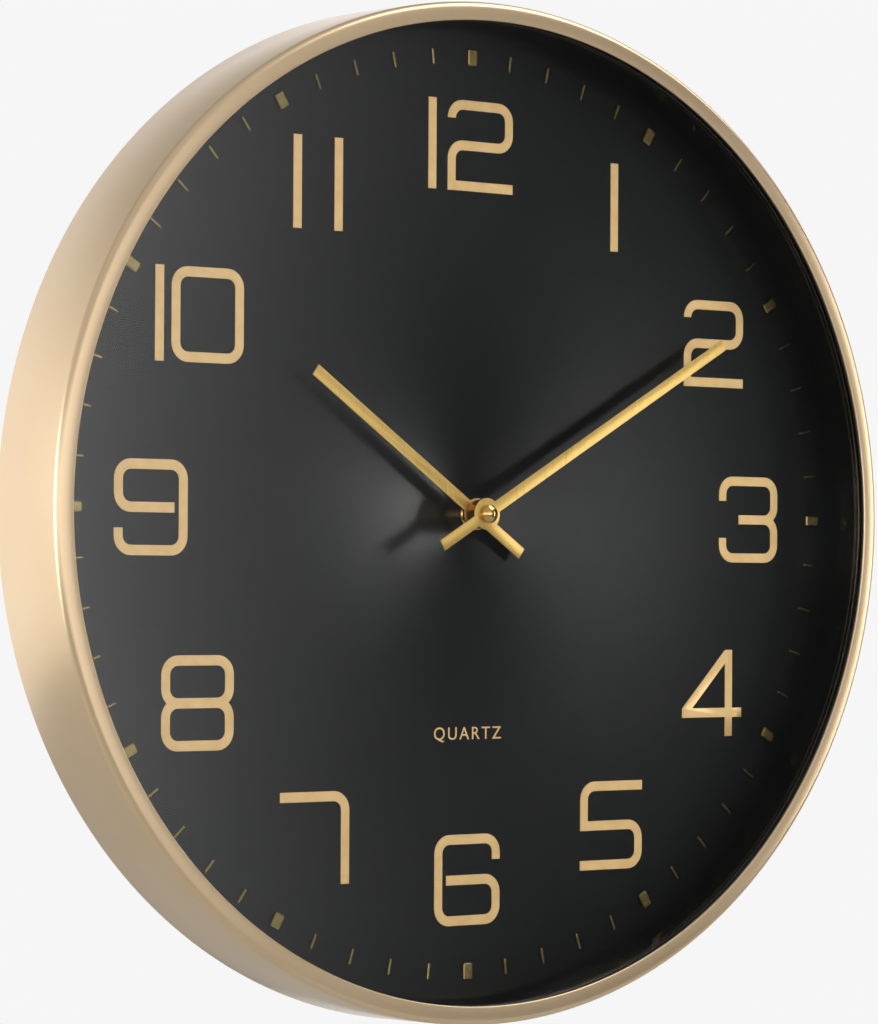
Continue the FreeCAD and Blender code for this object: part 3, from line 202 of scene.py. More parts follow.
def brushedGold(name, angle):
    # brushed gold anodised aluminium: fine lines along the hand that draw its highlights out
    material, tree = startMaterial(name)
    lineSpacing = 0.12 * mm
    lineLength = 14 * mm
    turned = objectPlace(tree, turn=(0, math.radians(angle), 0),
                         stretch=(1 / lineSpacing, 1 / lineSpacing, 1 / lineLength))
    lines = addNode(tree, "ShaderNodeTexNoise", inputs={"Vector": turned, "Scale": 1.0, "Detail": 2.0})
    rough = addNode(tree, "ShaderNodeMapRange", inputs={
        "Value": lines.outputs["Fac"], "From Min": 0.3, "From Max": 0.7, "To Min": 0.26, "To Max": 0.44})
    shader = addNode(tree, "ShaderNodeBsdfPrincipled", inputs={
        "Base Color": twoTone(tree, lines.outputs["Fac"], "#cba355", "#d8b268"),
        "Roughness": rough.outputs["Result"],
        "Normal": grainBump(tree, lines.outputs["Fac"], 0.004 * mm),
        "Metallic": 0.6})
    return finishMaterial(material, shader.outputs["BSDF"])


def clearGlass():
    # float glass with an anti-reflection coat: hardly seen but for its edge and a faint gleam
    material, tree = startMaterial("coatedGlass")
    smear = addNode(tree, "ShaderNodeTexNoise", inputs={
        "Vector": objectPlace(tree), "Scale": 1 / (60 * mm), "Detail": 3.0})
    rough = addNode(tree, "ShaderNodeMapRange", inputs={
        "Value": smear.outputs["Fac"], "From Min": 0.35, "From Max": 0.75, "To Min": 0.0, "To Max": 0.012})
    glass = addNode(tree, "ShaderNodeBsdfPrincipled", inputs={
        "Base Color": linear("#fbfdfb"), "Roughness": rough.outputs["Result"], "IOR": 1.45,
        "Specular IOR Level": 0.06, "Transmission Weight": 1.0})
    through = addNode(tree, "ShaderNodeBsdfTransparent", inputs={"Color": linear("#fbfdfb")})
    path = addNode(tree, "ShaderNodeLightPath")
    mixed = addNode(tree, "ShaderNodeMixShader", inputs={"Fac": path.outputs["Is Shadow Ray"]})
    tree.links.new(glass.outputs["BSDF"], mixed.inputs[1])
    tree.links.new(through.outputs["BSDF"], mixed.inputs[2])
    return finishMaterial(material, mixed.outputs["Shader"])


def woundCopper():
    # enamelled copper wire in even layers: glossy red-brown ridges, darker in the grooves between turns
    # and lighter on their crowns as painted shade
    material, tree = startMaterial("woundCopper")
    ridgePitch = 1.885 * mm  # real wire is 0.03 mm, drawn coarser so that the turns show
    wavesPerUnit = 20 / (2 * math.pi)  # of the wave texture at scale 1
    ridgeHeightAndShade = addNode(tree, "ShaderNodeTexWave", {"bands_direction": "Z"}, {
        "Vector": objectPlace(tree), "Scale": 1 / (wavesPerUnit * ridgePitch), "Distortion": 0.4})
    shader = addNode(tree, "ShaderNodeBsdfPrincipled", inputs={
        # the colour follows the ridge height: painted shade in the grooves between turns
        "Base Color": twoTone(tree, ridgeHeightAndShade.outputs["Fac"], "#7c3414", "#b8602c", 0.1, 0.9),
        "Roughness": 0.28, "Metallic": 0.8,
        "Normal": grainBump(tree, ridgeHeightAndShade.outputs["Fac"], 0.05 * mm)})
    return finishMaterial(material, shader.outputs["BSDF"])


def solderMask():
    # green solder mask over copper tracks: the tracks show as lighter, raised lines
    material, tree = startMaterial("solderMask")
    tracks = addNode(tree, "ShaderNodeTexBrick", {"offset": 0.5}, {
        "Vector": objectPlace(tree, turn=(math.radians(90), 0, 0)), "Scale": 1 / (6 * mm),
        "Color1": linear("#0f4a26"), "Color2": linear("#12522b"), "Mortar": linear("#2e7a48"),
        "Mortar Size": 0.05})
    shader = addNode(tree, "ShaderNodeBsdfPrincipled", inputs={
        "Base Color": tracks.outputs["Color"], "Roughness": 0.3, "Coat Weight": 0.4,
        "Normal": grainBump(tree, tracks.outputs["Fac"], 0.03 * mm)})
    return finishMaterial(material, shader.outputs["BSDF"])


def cellJacket(node):
    # printed shrink film on a dry cell: a copper-coloured end and a black body, glossy
    material, tree = startMaterial("printedFilm")
    low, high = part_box(node)
    place = addNode(tree, "ShaderNodeTexCoord")
    parts = addNode(tree, "ShaderNodeSeparateXYZ", inputs={"Vector": place.outputs["Object"]})
    share = addNode(tree, "ShaderNodeMapRange", inputs={
        "Value": parts.outputs["X"], "From Min": low.x, "From Max": high.x})
    copperFrom, edge = 0.66, 0.005  # shares of the length
    bands = twoTone(tree, share.outputs["Result"], "#16171a", "#b87a45", copperFrom - edge,
                    copperFrom + edge)
    scuffs = addNode(tree, "ShaderNodeTexNoise", inputs={
        "Vector": place.outputs["Object"], "Scale": 1 / (3 * mm), "Detail": 5.0})
    rough = addNode(tree, "ShaderNodeMapRange", inputs={
        "Value": scuffs.outputs["Fac"], "From Min": 0.4, "From Max": 0.7, "To Min": 0.16, "To Max": 0.34})
    shader = addNode(tree, "ShaderNodeBsdfPrincipled", inputs={
        "Base Color": bands, "Roughness": rough.outputs["Result"], "Metallic": 0.35, "Coat Weight": 0.5,
        "Normal": grainBump(tree, scuffs.outputs["Fac"], 0.01 * mm)})
    return finishMaterial(material, shader.outputs["BSDF"])


materials = {name: plainFinish(name, facts) for name, facts in finishes.items()}
handAngles = {"hour_hand": 305.0, "minute_hand": 59.5}   # degrees clockwise from twelve, for the brushing
for hand, angle in handAngles.items():
    materials[hand] = brushedGold("brushedGold_" + hand, angle)
materials["coatedGlass"] = clearGlass()
materials["woundCopper"] = woundCopper()
materials["solderMask"] = solderMask()
materials["printedFilm"] = cellJacket("battery")
print("materials ready:", len(materials))


# Mesh tools

def turnedMesh(outline, steps, closed=True):
    # a ring or pin turned round Z from (radius, height) points; an open outline starts and ends on Z
    mesh = bmesh.new()
    points = [mesh.verts.new((radius, 0, height)) for radius, height in outline]
    pairs = list(zip(points, points[1:]))
    if closed:
        pairs.append((points[-1], points[0]))
    edges = [mesh.edges.new(pair) for pair in pairs]
    bmesh.ops.spin(mesh, geom=points + edges, cent=(0, 0, 0), axis=(0, 0, 1),
                   angle=math.radians(360), steps=steps, use_merge=True)
    bmesh.ops.remove_doubles(mesh, verts=mesh.verts, dist=weld)
    return mesh


def softenRims(mesh, rims, segments=4):
    # rounds the circular edges at (radius, height) to a width
    near = 0.02 * mm
    for radius, height, width in rims:
        chosen = []
        for edge in mesh.edges:
            if all(abs(math.hypot(v.co.x, v.co.y) - radius) < near and abs(v.co.z - height) < near
                   for v in edge.verts):
                chosen.append(edge)
        bmesh.ops.bevel(mesh, geom=chosen, offset=width, offset_type="OFFSET", segments=segments,
                        profile=0.5, affect="EDGES", material=-1)
    return mesh


def softCopy(node, width, segments=2, frontOnly=False):
    # the node's own shape, its triangles joined into faces and its sharp edges softened
    mesh = bmesh.new()
    mesh.from_mesh(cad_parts[node].data)
    bmesh.ops.remove_doubles(mesh, verts=mesh.verts, dist=cadWeld)
    bmesh.ops.dissolve_limit(mesh, angle_limit=flatWithin, verts=mesh.verts, edges=mesh.edges)
    front = min(vertex.co.y for vertex in mesh.verts) + cadWeld
    sharp = []
    for edge in mesh.edges:
        onFront = all(vertex.co.y < front for vertex in edge.verts)
        bent = len(edge.link_faces) == 2 and edge.calc_face_angle() > sharpFrom
        if bent and (onFront or not frontOnly):
            sharp.append(edge)
    bmesh.ops.bevel(mesh, geom=sharp, offset=width, offset_type="OFFSET", segments=segments,
                    profile=0.5, affect="EDGES", clamp_overlap=True, material=-1)
    return mesh


def addBox(mesh, size, middle, turn=0.0, soften=0.0):
    # a bar of size (across, along, thick) with softened edges, turned clockwise round Z
    box = bmesh.new()
    bmesh.ops.create_cube(box, size=1.0)
    bmesh.ops.scale(box, vec=size, verts=box.verts)
    if soften:
        bmesh.ops.bevel(box, geom=box.edges[:], offset=soften, offset_type="OFFSET", segments=1,
                        profile=0.5, affect="EDGES", material=-1)
    bmesh.ops.translate(box, vec=middle, verts=box.verts)
    bmesh.ops.rotate(box, cent=(0, 0, 0), matrix=Matrix.Rotation(-turn, 3, "Z"), verts=box.verts)
    addMesh(mesh, box)


def addMesh(mesh, other, matrix=Matrix.Identity(4)):
    # puts a moved copy of one mesh into another
    carrier = bpy.data.meshes.new("carrier")
    other.to_mesh(carrier)
    carrier.transform(matrix)
    mesh.from_mesh(carrier)
    bpy.data.meshes.remove(carrier)


def makePiece(name, mesh, body, finish, nodes=(), place=standUp, sharpAngle=35):
    bmesh.ops.transform(mesh, matrix=place, verts=mesh.verts)
    bmesh.ops.recalc_face_normals(mesh, faces=mesh.faces)
    data = bpy.data.meshes.new(name)
    mesh.to_mesh(data)
    mesh.free()
    data.shade_smooth()
    data.set_sharp_from_angle(angle=math.radians(sharpAngle))
    piece = bpy.data.objects.new(name, data)
    bpy.context.scene.collection.objects.link(piece)
    data.materials.append(materials[finish])
    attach(piece, body)
    if nodes:
        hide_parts(*nodes)
    return piece


def cutAway(name, body, tool):
    # takes the tool's shape out of the body's mesh, and gives the body back
    made = []
    for label, mesh in ((name, body), (name + "Tool", tool)):
        bmesh.ops.recalc_face_normals(mesh, faces=mesh.faces)
        data = bpy.data.meshes.new(label)
        mesh.to_mesh(data)
        item = bpy.data.objects.new(label, data)
        bpy.context.scene.collection.objects.link(item)
        made.append(item)
    cut = made[0].modifiers.new("cut", "BOOLEAN")
    cut.operation = "DIFFERENCE"
    cut.solver = "EXACT"
    cut.use_self = True
    cut.object = made[1]
    bpy.context.view_layer.update()
    result = bpy.data.meshes.new_from_object(made[0].evaluated_get(bpy.context.evaluated_depsgraph_get()))
    body.clear()
    body.from_mesh(result)
    for item in made:
        data = item.data
        bpy.data.objects.remove(item)
        bpy.data.meshes.remove(data)
    bpy.data.meshes.remove(result)
    tool.free()
    return body


# Case: one pressed sheet with a tapered side, a round bend and a flat front band

caseShell = {"sheet": 1.2 * mm, "taper": 1.7 * mm, "bandFall": 0.4 * mm, "bend": 2.4 * mm,
             "halfTurn": math.radians(43),  # half of the turn from the side to the band
             "lipRound": 0.45 * mm, "rimRound": 0.3 * mm}


def makeCase(facts):
    lip, rim, back, front = ringOf("case_shell")
    sheet = facts["sheet"]
    shoulder = front - facts["bandFall"]
    fall = facts["taper"] * (front - sheet) / shoulder
    mesh = turnedMesh([
        (rim, back), (rim - facts["taper"], shoulder), (lip, front), (lip, front - sheet),
        (rim - sheet - fall, front - sheet), (rim - sheet, back)], turnSteps)
    softenRims(mesh, [(rim - facts["taper"], shoulder, facts["bend"] * math.tan(facts["halfTurn"]))], 8)
    softenRims(mesh, [(rim - sheet - fall, front - sheet, facts["bend"] - sheet)], 4)
    softenRims(mesh, [(lip, front, facts["lipRound"]), (lip, front - sheet, facts["lipRound"])], 4)
    softenRims(mesh, [(rim, back, facts["rimRound"]), (rim - sheet, back, facts["rimRound"])], 3)
    makePiece("caseShell", mesh, "clock_case", "champagneLacquer", ["case_shell"])


makeCase(caseShell)

# Black ring between dial and glass, the glass in its rubber channel, and the dial plate

frontStack = {"ringRound": 0.5 * mm, "glassGround": 0.25 * mm, "rubberRound": 0.2 * mm,
              "dialRound": 0.15 * mm}


def makeFrontStack(facts):
    lip = ringOf("case_shell")[0]
    bore, outer, back, front = ringOf("inner_ring")
    mesh = turnedMesh([(bore, back), (lip, front), (outer, front), (outer, back)], turnSteps)
    softenRims(mesh, [(lip, front, facts["ringRound"])], 3)
    makePiece("innerRing", mesh, "clock_case", "glossBlackPlastic", ["inner_ring"])
    glassEdge, glassBack, glassFront = ringOf("lens")[1:]
    mesh = turnedMesh([(0, glassBack), (glassEdge, glassBack), (glassEdge, glassFront), (0, glassFront)],
                      turnSteps, closed=False)
    softenRims(mesh, [(glassEdge, glassBack, facts["glassGround"]),
                      (glassEdge, glassFront, facts["glassGround"])], 1)
    makePiece("lensGlass", mesh, "clock_case", "coatedGlass", ["lens"])
    bore, outer, back, front = ringOf("lens_gasket")
    mesh = turnedMesh([
        (outer, back), (outer, front), (bore, front), (bore, glassFront), (glassEdge, glassFront),
        (glassEdge, glassBack), (bore, glassBack), (bore, back)], turnSteps)
    softenRims(mesh, [(bore, front, facts["rubberRound"]), (bore, back, facts["rubberRound"])], 2)
    makePiece("lensGasket", mesh, "clock_case", "blackRubber", ["lens_gasket"])
    hole, outer, back, front = ringOf("dial_plate")
    mesh = turnedMesh([(hole, back), (outer, back), (outer, front), (hole, front)], turnSteps)
    softenRims(mesh, [(hole, front, facts["dialRound"])], 2)
    makePiece("dialPlate", mesh, "clock_case", "satinBlackPaint", ["dial_plate"])


makeFrontStack(frontStack)
print("case, ring, glass and dial made")

# Numerals, markers and the word on the dial

dialMarks = {"numeralEdge": 0.09 * mm,
             "blockWidth": 4.3 * mm, "blockEdge": 0.42 * mm,
             "tickWidth": 1.0 * mm, "tickEdge": 0.22 * mm,
             "word": "QUARTZ", "wordSpan": 33.0 * mm, "wordDrop": 87.0 * mm, "wordThick": 0.12 * mm,
             "letterSpace": 1.25, "letterHalf": 0.01, "letterWeld": 1e-5}  # the last two in letter sizes


def makeDialMarks(facts):
    for hour in range(1, 13):
        node = "numeral_%d" % hour
        mesh = softCopy(node, facts["numeralEdge"], 1, frontOnly=True)
        makePiece("numeral%d" % hour, mesh, "clock_case", "goldFoil", [node],
                  Matrix.Identity(4))
    for name, node, width, edge, angles in (
            ("hourBlocks", "hour_markers", facts["blockWidth"], facts["blockEdge"], range(0, 360, 30)),
            ("minuteTicks", "minute_markers", facts["tickWidth"], facts["tickEdge"],
             [angle for angle in range(0, 360, 6) if angle % 30])):
        inner, outer, back, front = ringOf(node)
        outer = math.sqrt(outer ** 2 - (width / 2) ** 2)  # the corners lie a little further out
        size = (width, outer - inner, front - back)
        middle = (0, (inner + outer) / 2, (back + front) / 2)
        mesh = bmesh.new()
        for angle in angles:
            addBox(mesh, size, middle, math.radians(angle), edge)
        makePiece(name, mesh, "clock_case", "cutGold", [node], sharpAngle=20)


def makeWord(facts):
    lettering = bpy.data.curves.new("dialWord", "FONT")
    lettering.body = facts["word"]
    lettering.align_x = "CENTER"
    lettering.align_y = "CENTER"
    lettering.space_character = facts["letterSpace"]
    lettering.extrude = facts["letterHalf"]
    holder = bpy.data.objects.new("dialWord", lettering)
    bpy.context.scene.collection.objects.link(holder)
    bpy.context.view_layer.update()
    flat = bpy.data.meshes.new_from_object(holder.evaluated_get(bpy.context.evaluated_depsgraph_get()))
    bpy.data.objects.remove(holder)
    mesh = bmesh.new()
    mesh.from_mesh(flat)
    bpy.data.meshes.remove(flat)
    bmesh.ops.remove_doubles(mesh, verts=mesh.verts, dist=facts["letterWeld"])
    spread = [vertex.co.x for vertex in mesh.verts]
    scale = facts["wordSpan"] / (max(spread) - min(spread))
    bmesh.ops.translate(mesh, vec=(-(max(spread) + min(spread)) / 2, 0, facts["letterHalf"]),
                        verts=mesh.verts)
    bmesh.ops.scale(mesh, vec=(scale, scale, facts["wordThick"] / (2 * facts["letterHalf"])),
                    verts=mesh.verts)
    bmesh.ops.translate(mesh, vec=(0, -facts["wordDrop"], ringOf("dial_plate")[3]), verts=mesh.verts)
    makePiece("dialWord", mesh, "clock_case", "goldFoil")


makeDialMarks(dialMarks)
makeWord(dialMarks)
print("dial marks made")

# Hands and the turned pieces of the hub

hub = {"handEdge": 0.12 * mm, "nutRound": 1.3 * mm, "washerRound": 0.15 * mm,
       "boreShare": 0.25,  # a bore's edge is rounded by this share of the outer one
       "barrelRound": 0.5 * mm, "barrelWall": 1.6 * mm, "barrelClear": 0.3 * mm, "capDome": 1.5 * mm}


def domedOutline(radius, back, front, dome, segments=10):
    # outline of a pin whose end is a spherical cap of height dome
    cap = (radius ** 2 + dome ** 2) / (2 * dome)
    widest = math.asin(radius / cap)
    outline = [(0, back), (radius, back)]
    for number in range(segments + 1):
        angle = widest * (1 - number / segments)
        outline.append((cap * math.sin(angle), front - cap + cap * math.cos(angle)))
    outline[-1] = (0, front)
    return outline


def makeHub(facts):
    for node, body in (("hour_hand", "hour_wheel"), ("minute_hand", "minute_arbor")):
        mesh = softCopy(node, facts["handEdge"], 2)
        name = node.replace("_h", "H")
        makePiece(name, mesh, body, node, [node], Matrix.Identity(4))
    for name, node, rims in (("brassWasher", "brass_washer", facts["washerRound"]),
                             ("fixingNut", "fixing_nut", facts["nutRound"])):
        bore, outer, back, front = ringOf(node)
        mesh = turnedMesh([(bore, back), (outer, back), (outer, front), (bore, front)], smallSteps)
        softenRims(mesh, [(outer, front, rims), (bore, front, rims * facts["boreShare"])], 4)
        makePiece(name, mesh, "clock_case", "polishedBrass", [node])
    bore, outer, back, front = ringOf("minute_hand_collar")
    neck = ringOf("hour_hand_collar")
    floor = neck[3] + facts["barrelClear"]
    wall = outer - facts["barrelWall"]
    mesh = turnedMesh([(wall, back), (outer, back), (outer, front), (bore, front), (bore, floor),
                       (wall, floor)], smallSteps)
    softenRims(mesh, [(outer, front, facts["barrelRound"]), (outer, back, facts["barrelRound"])], 4)
    # the barrel's brass is darkened and browned as painted shade
    makePiece("minuteHandCollar", mesh, "minute_arbor", "turnedBrassPaintedShade", ["minute_hand_collar"])
    bore, outer, back, front = ringOf("cap_nut")
    outline = domedOutline(outer, back, front, facts["capDome"])
    mesh = turnedMesh(outline, smallSteps, closed=False)
    makePiece("capNut", mesh, "minute_arbor", "polishedBrass", ["cap_nut"])


makeHub(hub)
print("hands and hub made")

# Screws and rivets at the back, each turned, set where its own CAD solid stands

# a head's outline in shares of its radius and of its thickness, from the middle of its back to its rim
pins = {"screwHead": ((0, 0), (0.65, 0), (0.9125, 0.25), (1, 0.6)),
        "rivetHead": ((0, 0), (0.35, 0.045), (0.65, 0.1875), (0.88, 0.435), (1, 0.75)),
        "crossWidth": 0.3, "crossReach": 0.62, "crossDepth": 0.6,  # shares of the head
        "crossTurn": 20}  # degrees from one screw to the next


def solidsOf(node):
    # middle, back, front and points of each loose solid of a node
    mesh = bmesh.new()
    mesh.from_mesh(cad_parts[node].data)
    bmesh.ops.remove_doubles(mesh, verts=mesh.verts, dist=cadWeld)
    waiting = set(mesh.verts)
    found = []
    while waiting:
        island, reached = [], [waiting.pop()]
        while reached:
            vertex = reached.pop()
            island.append(vertex.co.copy())
            for edge in vertex.link_edges:
                other = edge.other_vert(vertex)
                if other in waiting:
                    waiting.remove(other)
                    reached.append(other)
        spans = [(min(place[axis] for place in island), max(place[axis] for place in island))
                 for axis in range(3)]
        middle = Vector(((spans[0][0] + spans[0][1]) / 2, (spans[2][0] + spans[2][1]) / 2, 0))
        found.append((middle, -spans[1][1], -spans[1][0], island))
    mesh.free()
    return sorted(found, key=lambda item: (round(item[0].x, 5), round(item[0].y, 5)))


def makePins(facts, name, node, recessed):
    # a head at the back, a shank, and a second head where the solid has one
    shape = facts["screwHead"] if recessed else facts["rivetHead"]
    near = 2 * cadWeld
    whole = bmesh.new()
    for number, (middle, back, front, island) in enumerate(solidsOf(node)):
        rings = [(math.hypot(place.x - middle.x, place.z - middle.y), -place.y) for place in island]
        head = max(radius for radius, height in rings)
        shank = min(radius for radius, height in rings)
        neck = [height for radius, height in rings if radius < shank + near]
        under = min(height for height in neck if height > back + near)
        over = max(neck)
        thick = under - back
        outline = [(head * share, back + thick * rise) for share, rise in shape]
        outline += [(head, under), (shank, under), (shank, over)]
        if front - over > near:
            outline.append((head, over))
            outline += [(head * share, front - thick * rise) for share, rise in shape[::-1]]
        else:
            outline.append((0, front))
        pin = turnedMesh(outline, smallSteps // 2, closed=False)
        if recessed:
            bar = (head * facts["crossWidth"], head * facts["crossReach"] * 2,
                   thick * facts["crossDepth"] * 2)
            cross = bmesh.new()
            for turn in (0, 90):
                addBox(cross, bar, (0, 0, back), math.radians(turn + facts["crossTurn"] * number))
            pin = cutAway("%s%d" % (name, number), pin, cross)
        addMesh(whole, pin, Matrix.Translation(middle))
        pin.free()
    makePiece(name, whole, "clock_case", "zincPlate", [node])


makePins(pins, "coverScrews", "back_cover_screws", True)
makePins(pins, "housingScrews", "housing_screws", True)
makePins(pins, "hangerRivets", "hanger_rivets", False)
print("screws and rivets made")

# Back cover's pressed beads

coverBead = {"radii": (120 * mm, 172 * mm), "width": 5.0 * mm, "rise": 0.5 * mm, "foot": 0.125 * mm,
             "steps": 8, "flare": 1.5}  # flare: how softly the bead leaves the sheet


def makeBeads(facts):
    back = ringOf("back_cover")[2]
    foot = back + facts["foot"]
    half = facts["width"] / 2
    whole = bmesh.new()
    for radius in facts["radii"]:
        outline = []
        for number in range(facts["steps"] + 1):
            angle = math.pi * number / facts["steps"]
            outline.append((radius - half * math.cos(angle),
                            back - facts["rise"] * math.sin(angle) ** facts["flare"]))
        outline += [(radius + half, foot), (radius - half, foot)]
        ring = turnedMesh(outline, turnSteps)
        addMesh(whole, ring)
        ring.free()
    makePiece("coverBeads", whole, "clock_case", "blackPowderCoat")


makeBeads(coverBead)

# Ribs round the setting knob and a finger bar across it

knobGrip = {"thick": 2.2 * mm, "ribCount": 40, "ribRise": 0.12 * mm, "ribWidth": 0.35 * mm,
            "ribShort": 0.2 * mm, "barWidth": 1.2 * mm, "barRise": 0.25 * mm,
            "barReach": 1.5,     # share of the knob's radius
            "barTurn": 0.6,      # radians
            "edgeShare": 1 / 3}  # edges softened by this share of the rise


def makeKnobGrip(facts):
    low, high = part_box("setting_knob")
    middle = middleOf("setting_knob")
    radius = (high.x - low.x) / 2
    back = -high.y
    ribSize = (facts["ribWidth"], facts["ribRise"] * 2, facts["thick"] - facts["ribShort"] * 2)
    grip = bmesh.new()
    for number in range(facts["ribCount"]):
        addBox(grip, ribSize, (0, radius, back + facts["thick"] / 2),
               math.radians(360 * number / facts["ribCount"]), facts["ribRise"] * facts["edgeShare"])
    addBox(grip, (facts["barWidth"], radius * facts["barReach"], facts["barRise"] * 2), (0, 0, back),
           facts["barTurn"], facts["barRise"] * facts["edgeShare"])
    place = standUp @ Matrix.Translation((middle.x, middle.z, 0))
    makePiece("knobGrip", grip, "setting_knob", "mattBlackPlastic", place=place)


makeKnobGrip(knobGrip)

# Dry cell

cell = {
    # outline at each end in millimetres: how far in from the jacket, how far from the end
    "flatEnd": ((2.32, 0), (1.88, 0.35), (1.22, 0.175), (0.12, 1.1), (0, 1.43)),
    "nubEnd": ((0, 2.4), (0.25, 2.0), (0, 1.6), (0, 0.99), (0.55, 0.275), (1.65, 0), (2.2, 0.35)),
    "nubFlare": 1.15,        # share of the nub's radius where it leaves the can
    "nubSunk": 0.35 * mm, "nubRound": 0.5 * mm,
    "canFrom": 1.2,          # points further out than this share of the nub's radius are the can's
    "endWithin": 0.01 * mm}  # points this near to an end are on it


def makeCell(facts):
    # a dry cell lying along X: rounded shoulders, a sleeve rolled over both ends and a pressed nub
    low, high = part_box("battery")
    middle = middleOf("battery")
    radius = (high.z - low.z) / 2
    half = (high.x - low.x) / 2
    places = [vertex.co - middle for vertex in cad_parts["battery"].data.vertices]
    rings = [(math.hypot(place.y, place.z), place.x) for place in places]
    ends = {side: max(reach for reach, along in rings if abs(along - side * half) < facts["endWithin"])
            for side in (-1, 1)}
    nubSide = -1 if ends[-1] < ends[1] else 1
    nub = min(ends.values())
    foot = max(along * nubSide for reach, along in rings if reach > nub * facts["canFrom"])
    outline = [(0, -half)]
    outline += [(radius - inset * mm, -half + along * mm) for inset, along in facts["flatEnd"]]
    outline += [(radius - inset * mm, foot - along * mm) for inset, along in facts["nubEnd"]]
    outline += [(nub * facts["nubFlare"], foot - facts["nubSunk"]), (nub, foot - facts["nubSunk"] / 2),
                (nub, half - facts["nubRound"]), (nub - facts["nubRound"], half), (0, half)]
    mesh = turnedMesh(outline, smallSteps, closed=False)
    lay = Matrix.Translation(middle) @ Matrix.Rotation(math.radians(90 * nubSide), 4, "Y")
    makePiece("dryCell", mesh, "battery", "printedFilm", ["battery"], place=lay)


makeCell(cell)
print("back details made")

# Materials of the CAD pieces that keep their shape

kept = {
    "mattBlackPlastic": ["dial_spacer", "movement_housing", "movement_lid", "setting_knob", "coil_bobbin"],
    "blackPowderCoat": ["back_cover"],
    "zincPlate": ["hanger_plate", "mounting_lugs"],
    "blackRubber": ["dial_washer"],
    "polishedBrass": ["centre_bush", "hour_hand_collar"],
    "brightSteel": ["minute_arbor", "stator", "coil_core", "clutch_spring"],
    "whiteAcetal": ["hour_wheel", "motion_wheel", "centre_wheel", "third_wheel", "second_wheel",
                    "fifth_wheel"],
    "sinteredFerrite": ["rotor"],
    "woundCopper": ["coil_winding"],
    "solderMask": ["circuit_board"],
    "blackEpoxy": ["timing_chip"],
    "nickelPlate": ["quartz_crystal", "positive_contact", "negative_contact"],
}
for finish, names in kept.items():
    for name in names:
        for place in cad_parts[name].material_slots:
            place.material = materials[finish]
print("kept pieces finished")

# Studio: a pale floor, a pale room that is darker to the right in front, and soft lamps

studio = {"floorDrop": 0.9, "floorRadius": 2.6, "floorTone": "#cacac8", "backdrop": 0.92,
          # light levels: behind the clock, level and steep; in front, left and right, and the shares
          # of those that are left low down and high up
          "behindLevel": 1.3, "behindSlant": 0.4, "frontLeft": 2.15, "frontRight": 0.04,
          "frontBelow": 0.12, "frontAbove": 0.28,
          # parts of a direction between which the room goes from one level to the next
          "sideFade": (0.38, 0.62), "lowFade": (-0.25, 0.0), "highFade": (0.08, 0.25),
          "slantFade": (0.2, 0.7), "behindFade": (-0.15, 0.35)}
lamps = {
    # azimuth from straight ahead, positive to the right; elevation; distance; width and height; watts
    "keyLamp": (58, 46, 2.2, 1.6, 1.4, 23),
    "rightSoftbox": (58, 0, 2.0, 0.25, 0.9, 4.6),
    "leftSoftbox": (-100, 0, 2.0, 1.4, 0.9, 12),
}


def makeFloor(facts):
    mesh = bmesh.new()
    bmesh.ops.create_circle(mesh, cap_ends=True, radius=facts["floorRadius"], segments=96)
    bmesh.ops.translate(mesh, vec=(0, 0, -facts["floorDrop"]), verts=mesh.verts)
    data = bpy.data.meshes.new("studioFloor")
    mesh.to_mesh(data)
    mesh.free()
    floor = bpy.data.objects.new("studioFloor", data)
    bpy.context.scene.collection.objects.link(floor)
    material, tree = startMaterial("studioPaint")
    shader = addNode(tree, "ShaderNodeBsdfPrincipled", inputs={
        "Base Color": linear(facts["floorTone"]), "Roughness": 0.8})
    data.materials.append(finishMaterial(material, shader.outputs["BSDF"]))


def fade(tree, value, between, levels):
    # a smooth change from the first level to the second while the value crosses the range
    step = addNode(tree, "ShaderNodeMapRange", {"interpolation_type": "SMOOTHSTEP"}, {
        "Value": value, "From Min": between[0], "From Max": between[1],
        "To Min": levels[0], "To Max": levels[1]})
    return step.outputs["Result"]


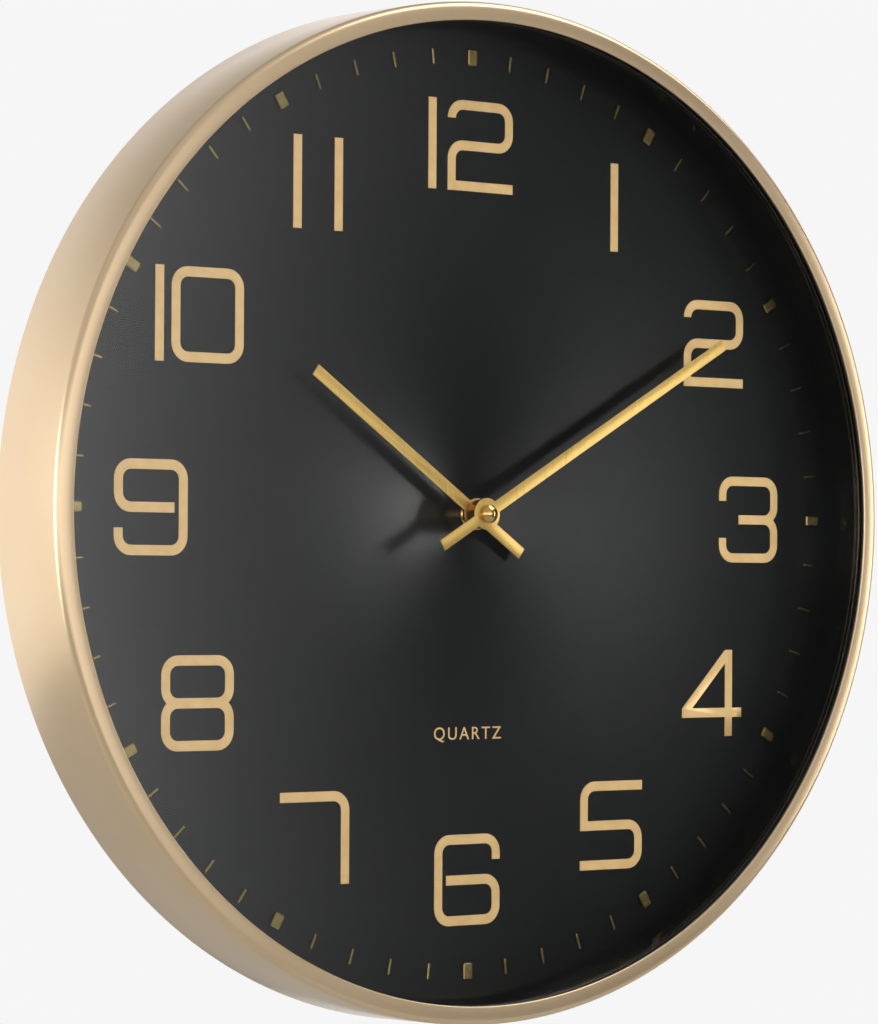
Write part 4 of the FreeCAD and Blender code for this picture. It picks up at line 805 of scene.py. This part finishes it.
def makeRoom(facts):
    world = bpy.data.worlds.new("studioRoom")
    bpy.context.scene.world = world
    world.use_nodes = True
    tree = world.node_tree
    tree.nodes.clear()
    place = addNode(tree, "ShaderNodeTexCoord")
    parts = addNode(tree, "ShaderNodeSeparateXYZ", inputs={"Vector": place.outputs["Generated"]})
    across = fade(tree, parts.outputs["X"], facts["sideFade"],
                  (facts["frontLeft"], facts["frontRight"]))
    below = fade(tree, parts.outputs["Z"], facts["lowFade"], (facts["frontBelow"], 1.0))
    above = fade(tree, parts.outputs["Z"], facts["highFade"], (1.0, facts["frontAbove"]))
    level = addNode(tree, "ShaderNodeMath", {"operation": "MULTIPLY"})
    tree.links.new(below, level.inputs[0])
    tree.links.new(above, level.inputs[1])
    front = addNode(tree, "ShaderNodeMath", {"operation": "MULTIPLY"})
    tree.links.new(across, front.inputs[0])
    tree.links.new(level.outputs["Value"], front.inputs[1])
    slant = addNode(tree, "ShaderNodeMath", {"operation": "ABSOLUTE"})
    tree.links.new(parts.outputs["Z"], slant.inputs[0])
    back = fade(tree, slant.outputs["Value"], facts["slantFade"],
                (facts["behindLevel"], facts["behindSlant"]))
    behind = fade(tree, parts.outputs["Y"], facts["behindFade"], (0.0, 1.0))
    tone = addNode(tree, "ShaderNodeMix", {"data_type": "FLOAT"}, {
        "Factor": behind, "A": front.outputs["Value"], "B": back})
    lit = addNode(tree, "ShaderNodeBackground", inputs={"Strength": tone.outputs["Result"]})
    seen = addNode(tree, "ShaderNodeBackground", inputs={"Strength": facts["backdrop"]})
    for shader in (lit, seen):
        shader.inputs["Color"].default_value = (1, 1, 1, 1)
    path = addNode(tree, "ShaderNodeLightPath")
    mixed = addNode(tree, "ShaderNodeMixShader", inputs={"Fac": path.outputs["Is Camera Ray"]})
    tree.links.new(lit.outputs["Background"], mixed.inputs[1])
    tree.links.new(seen.outputs["Background"], mixed.inputs[2])
    addNode(tree, "ShaderNodeOutputWorld", inputs={"Surface": mixed.outputs["Shader"]})


def makeLamp(name, azimuth, elevation, distance, width, height, watts):
    lamp = bpy.data.lights.new(name, "AREA")
    lamp.shape = "RECTANGLE"
    lamp.size = width
    lamp.size_y = height
    lamp.energy = watts
    item = bpy.data.objects.new(name, lamp)
    bpy.context.scene.collection.objects.link(item)
    across, up = math.radians(azimuth), math.radians(elevation)
    spot = Vector((math.sin(across) * math.cos(up), -math.cos(across) * math.cos(up), math.sin(up)))
    item.location = spot * distance
    item.rotation_euler = spot.to_track_quat("Z", "Y").to_euler()


# Camera: left of the clock and a little below its middle, looking slightly up

view = {"place": (-0.8568, -1.1749, -0.0288), "yaw": 36.089, "pitch": 0.258, "roll": 0.307,
        "focal": 127.6, "sensor": 36.0, "shiftUp": 0.0571}


def makeCamera(facts):
    camera = bpy.data.cameras.new("studioCamera")
    camera.lens = facts["focal"]
    camera.sensor_width = facts["sensor"]
    camera.shift_y = facts["shiftUp"]
    camera.clip_start = 0.05
    item = bpy.data.objects.new("studioCamera", camera)
    bpy.context.scene.collection.objects.link(item)
    yaw, pitch, roll = (math.radians(facts[name]) for name in ("yaw", "pitch", "roll"))
    turn = Matrix.Rotation(-yaw, 4, "Z") @ Matrix.Rotation(math.radians(90) + pitch, 4, "X")
    turn = turn @ Matrix.Rotation(roll, 4, "Z")
    item.matrix_world = Matrix.Translation(facts["place"]) @ turn
    bpy.context.scene.camera = item


makeFloor(studio)
makeRoom(studio)
for name, facts in lamps.items():
    makeLamp(name, *facts)
makeCamera(view)
bpy.context.scene.view_settings.view_transform = "Standard"
print("studio ready")
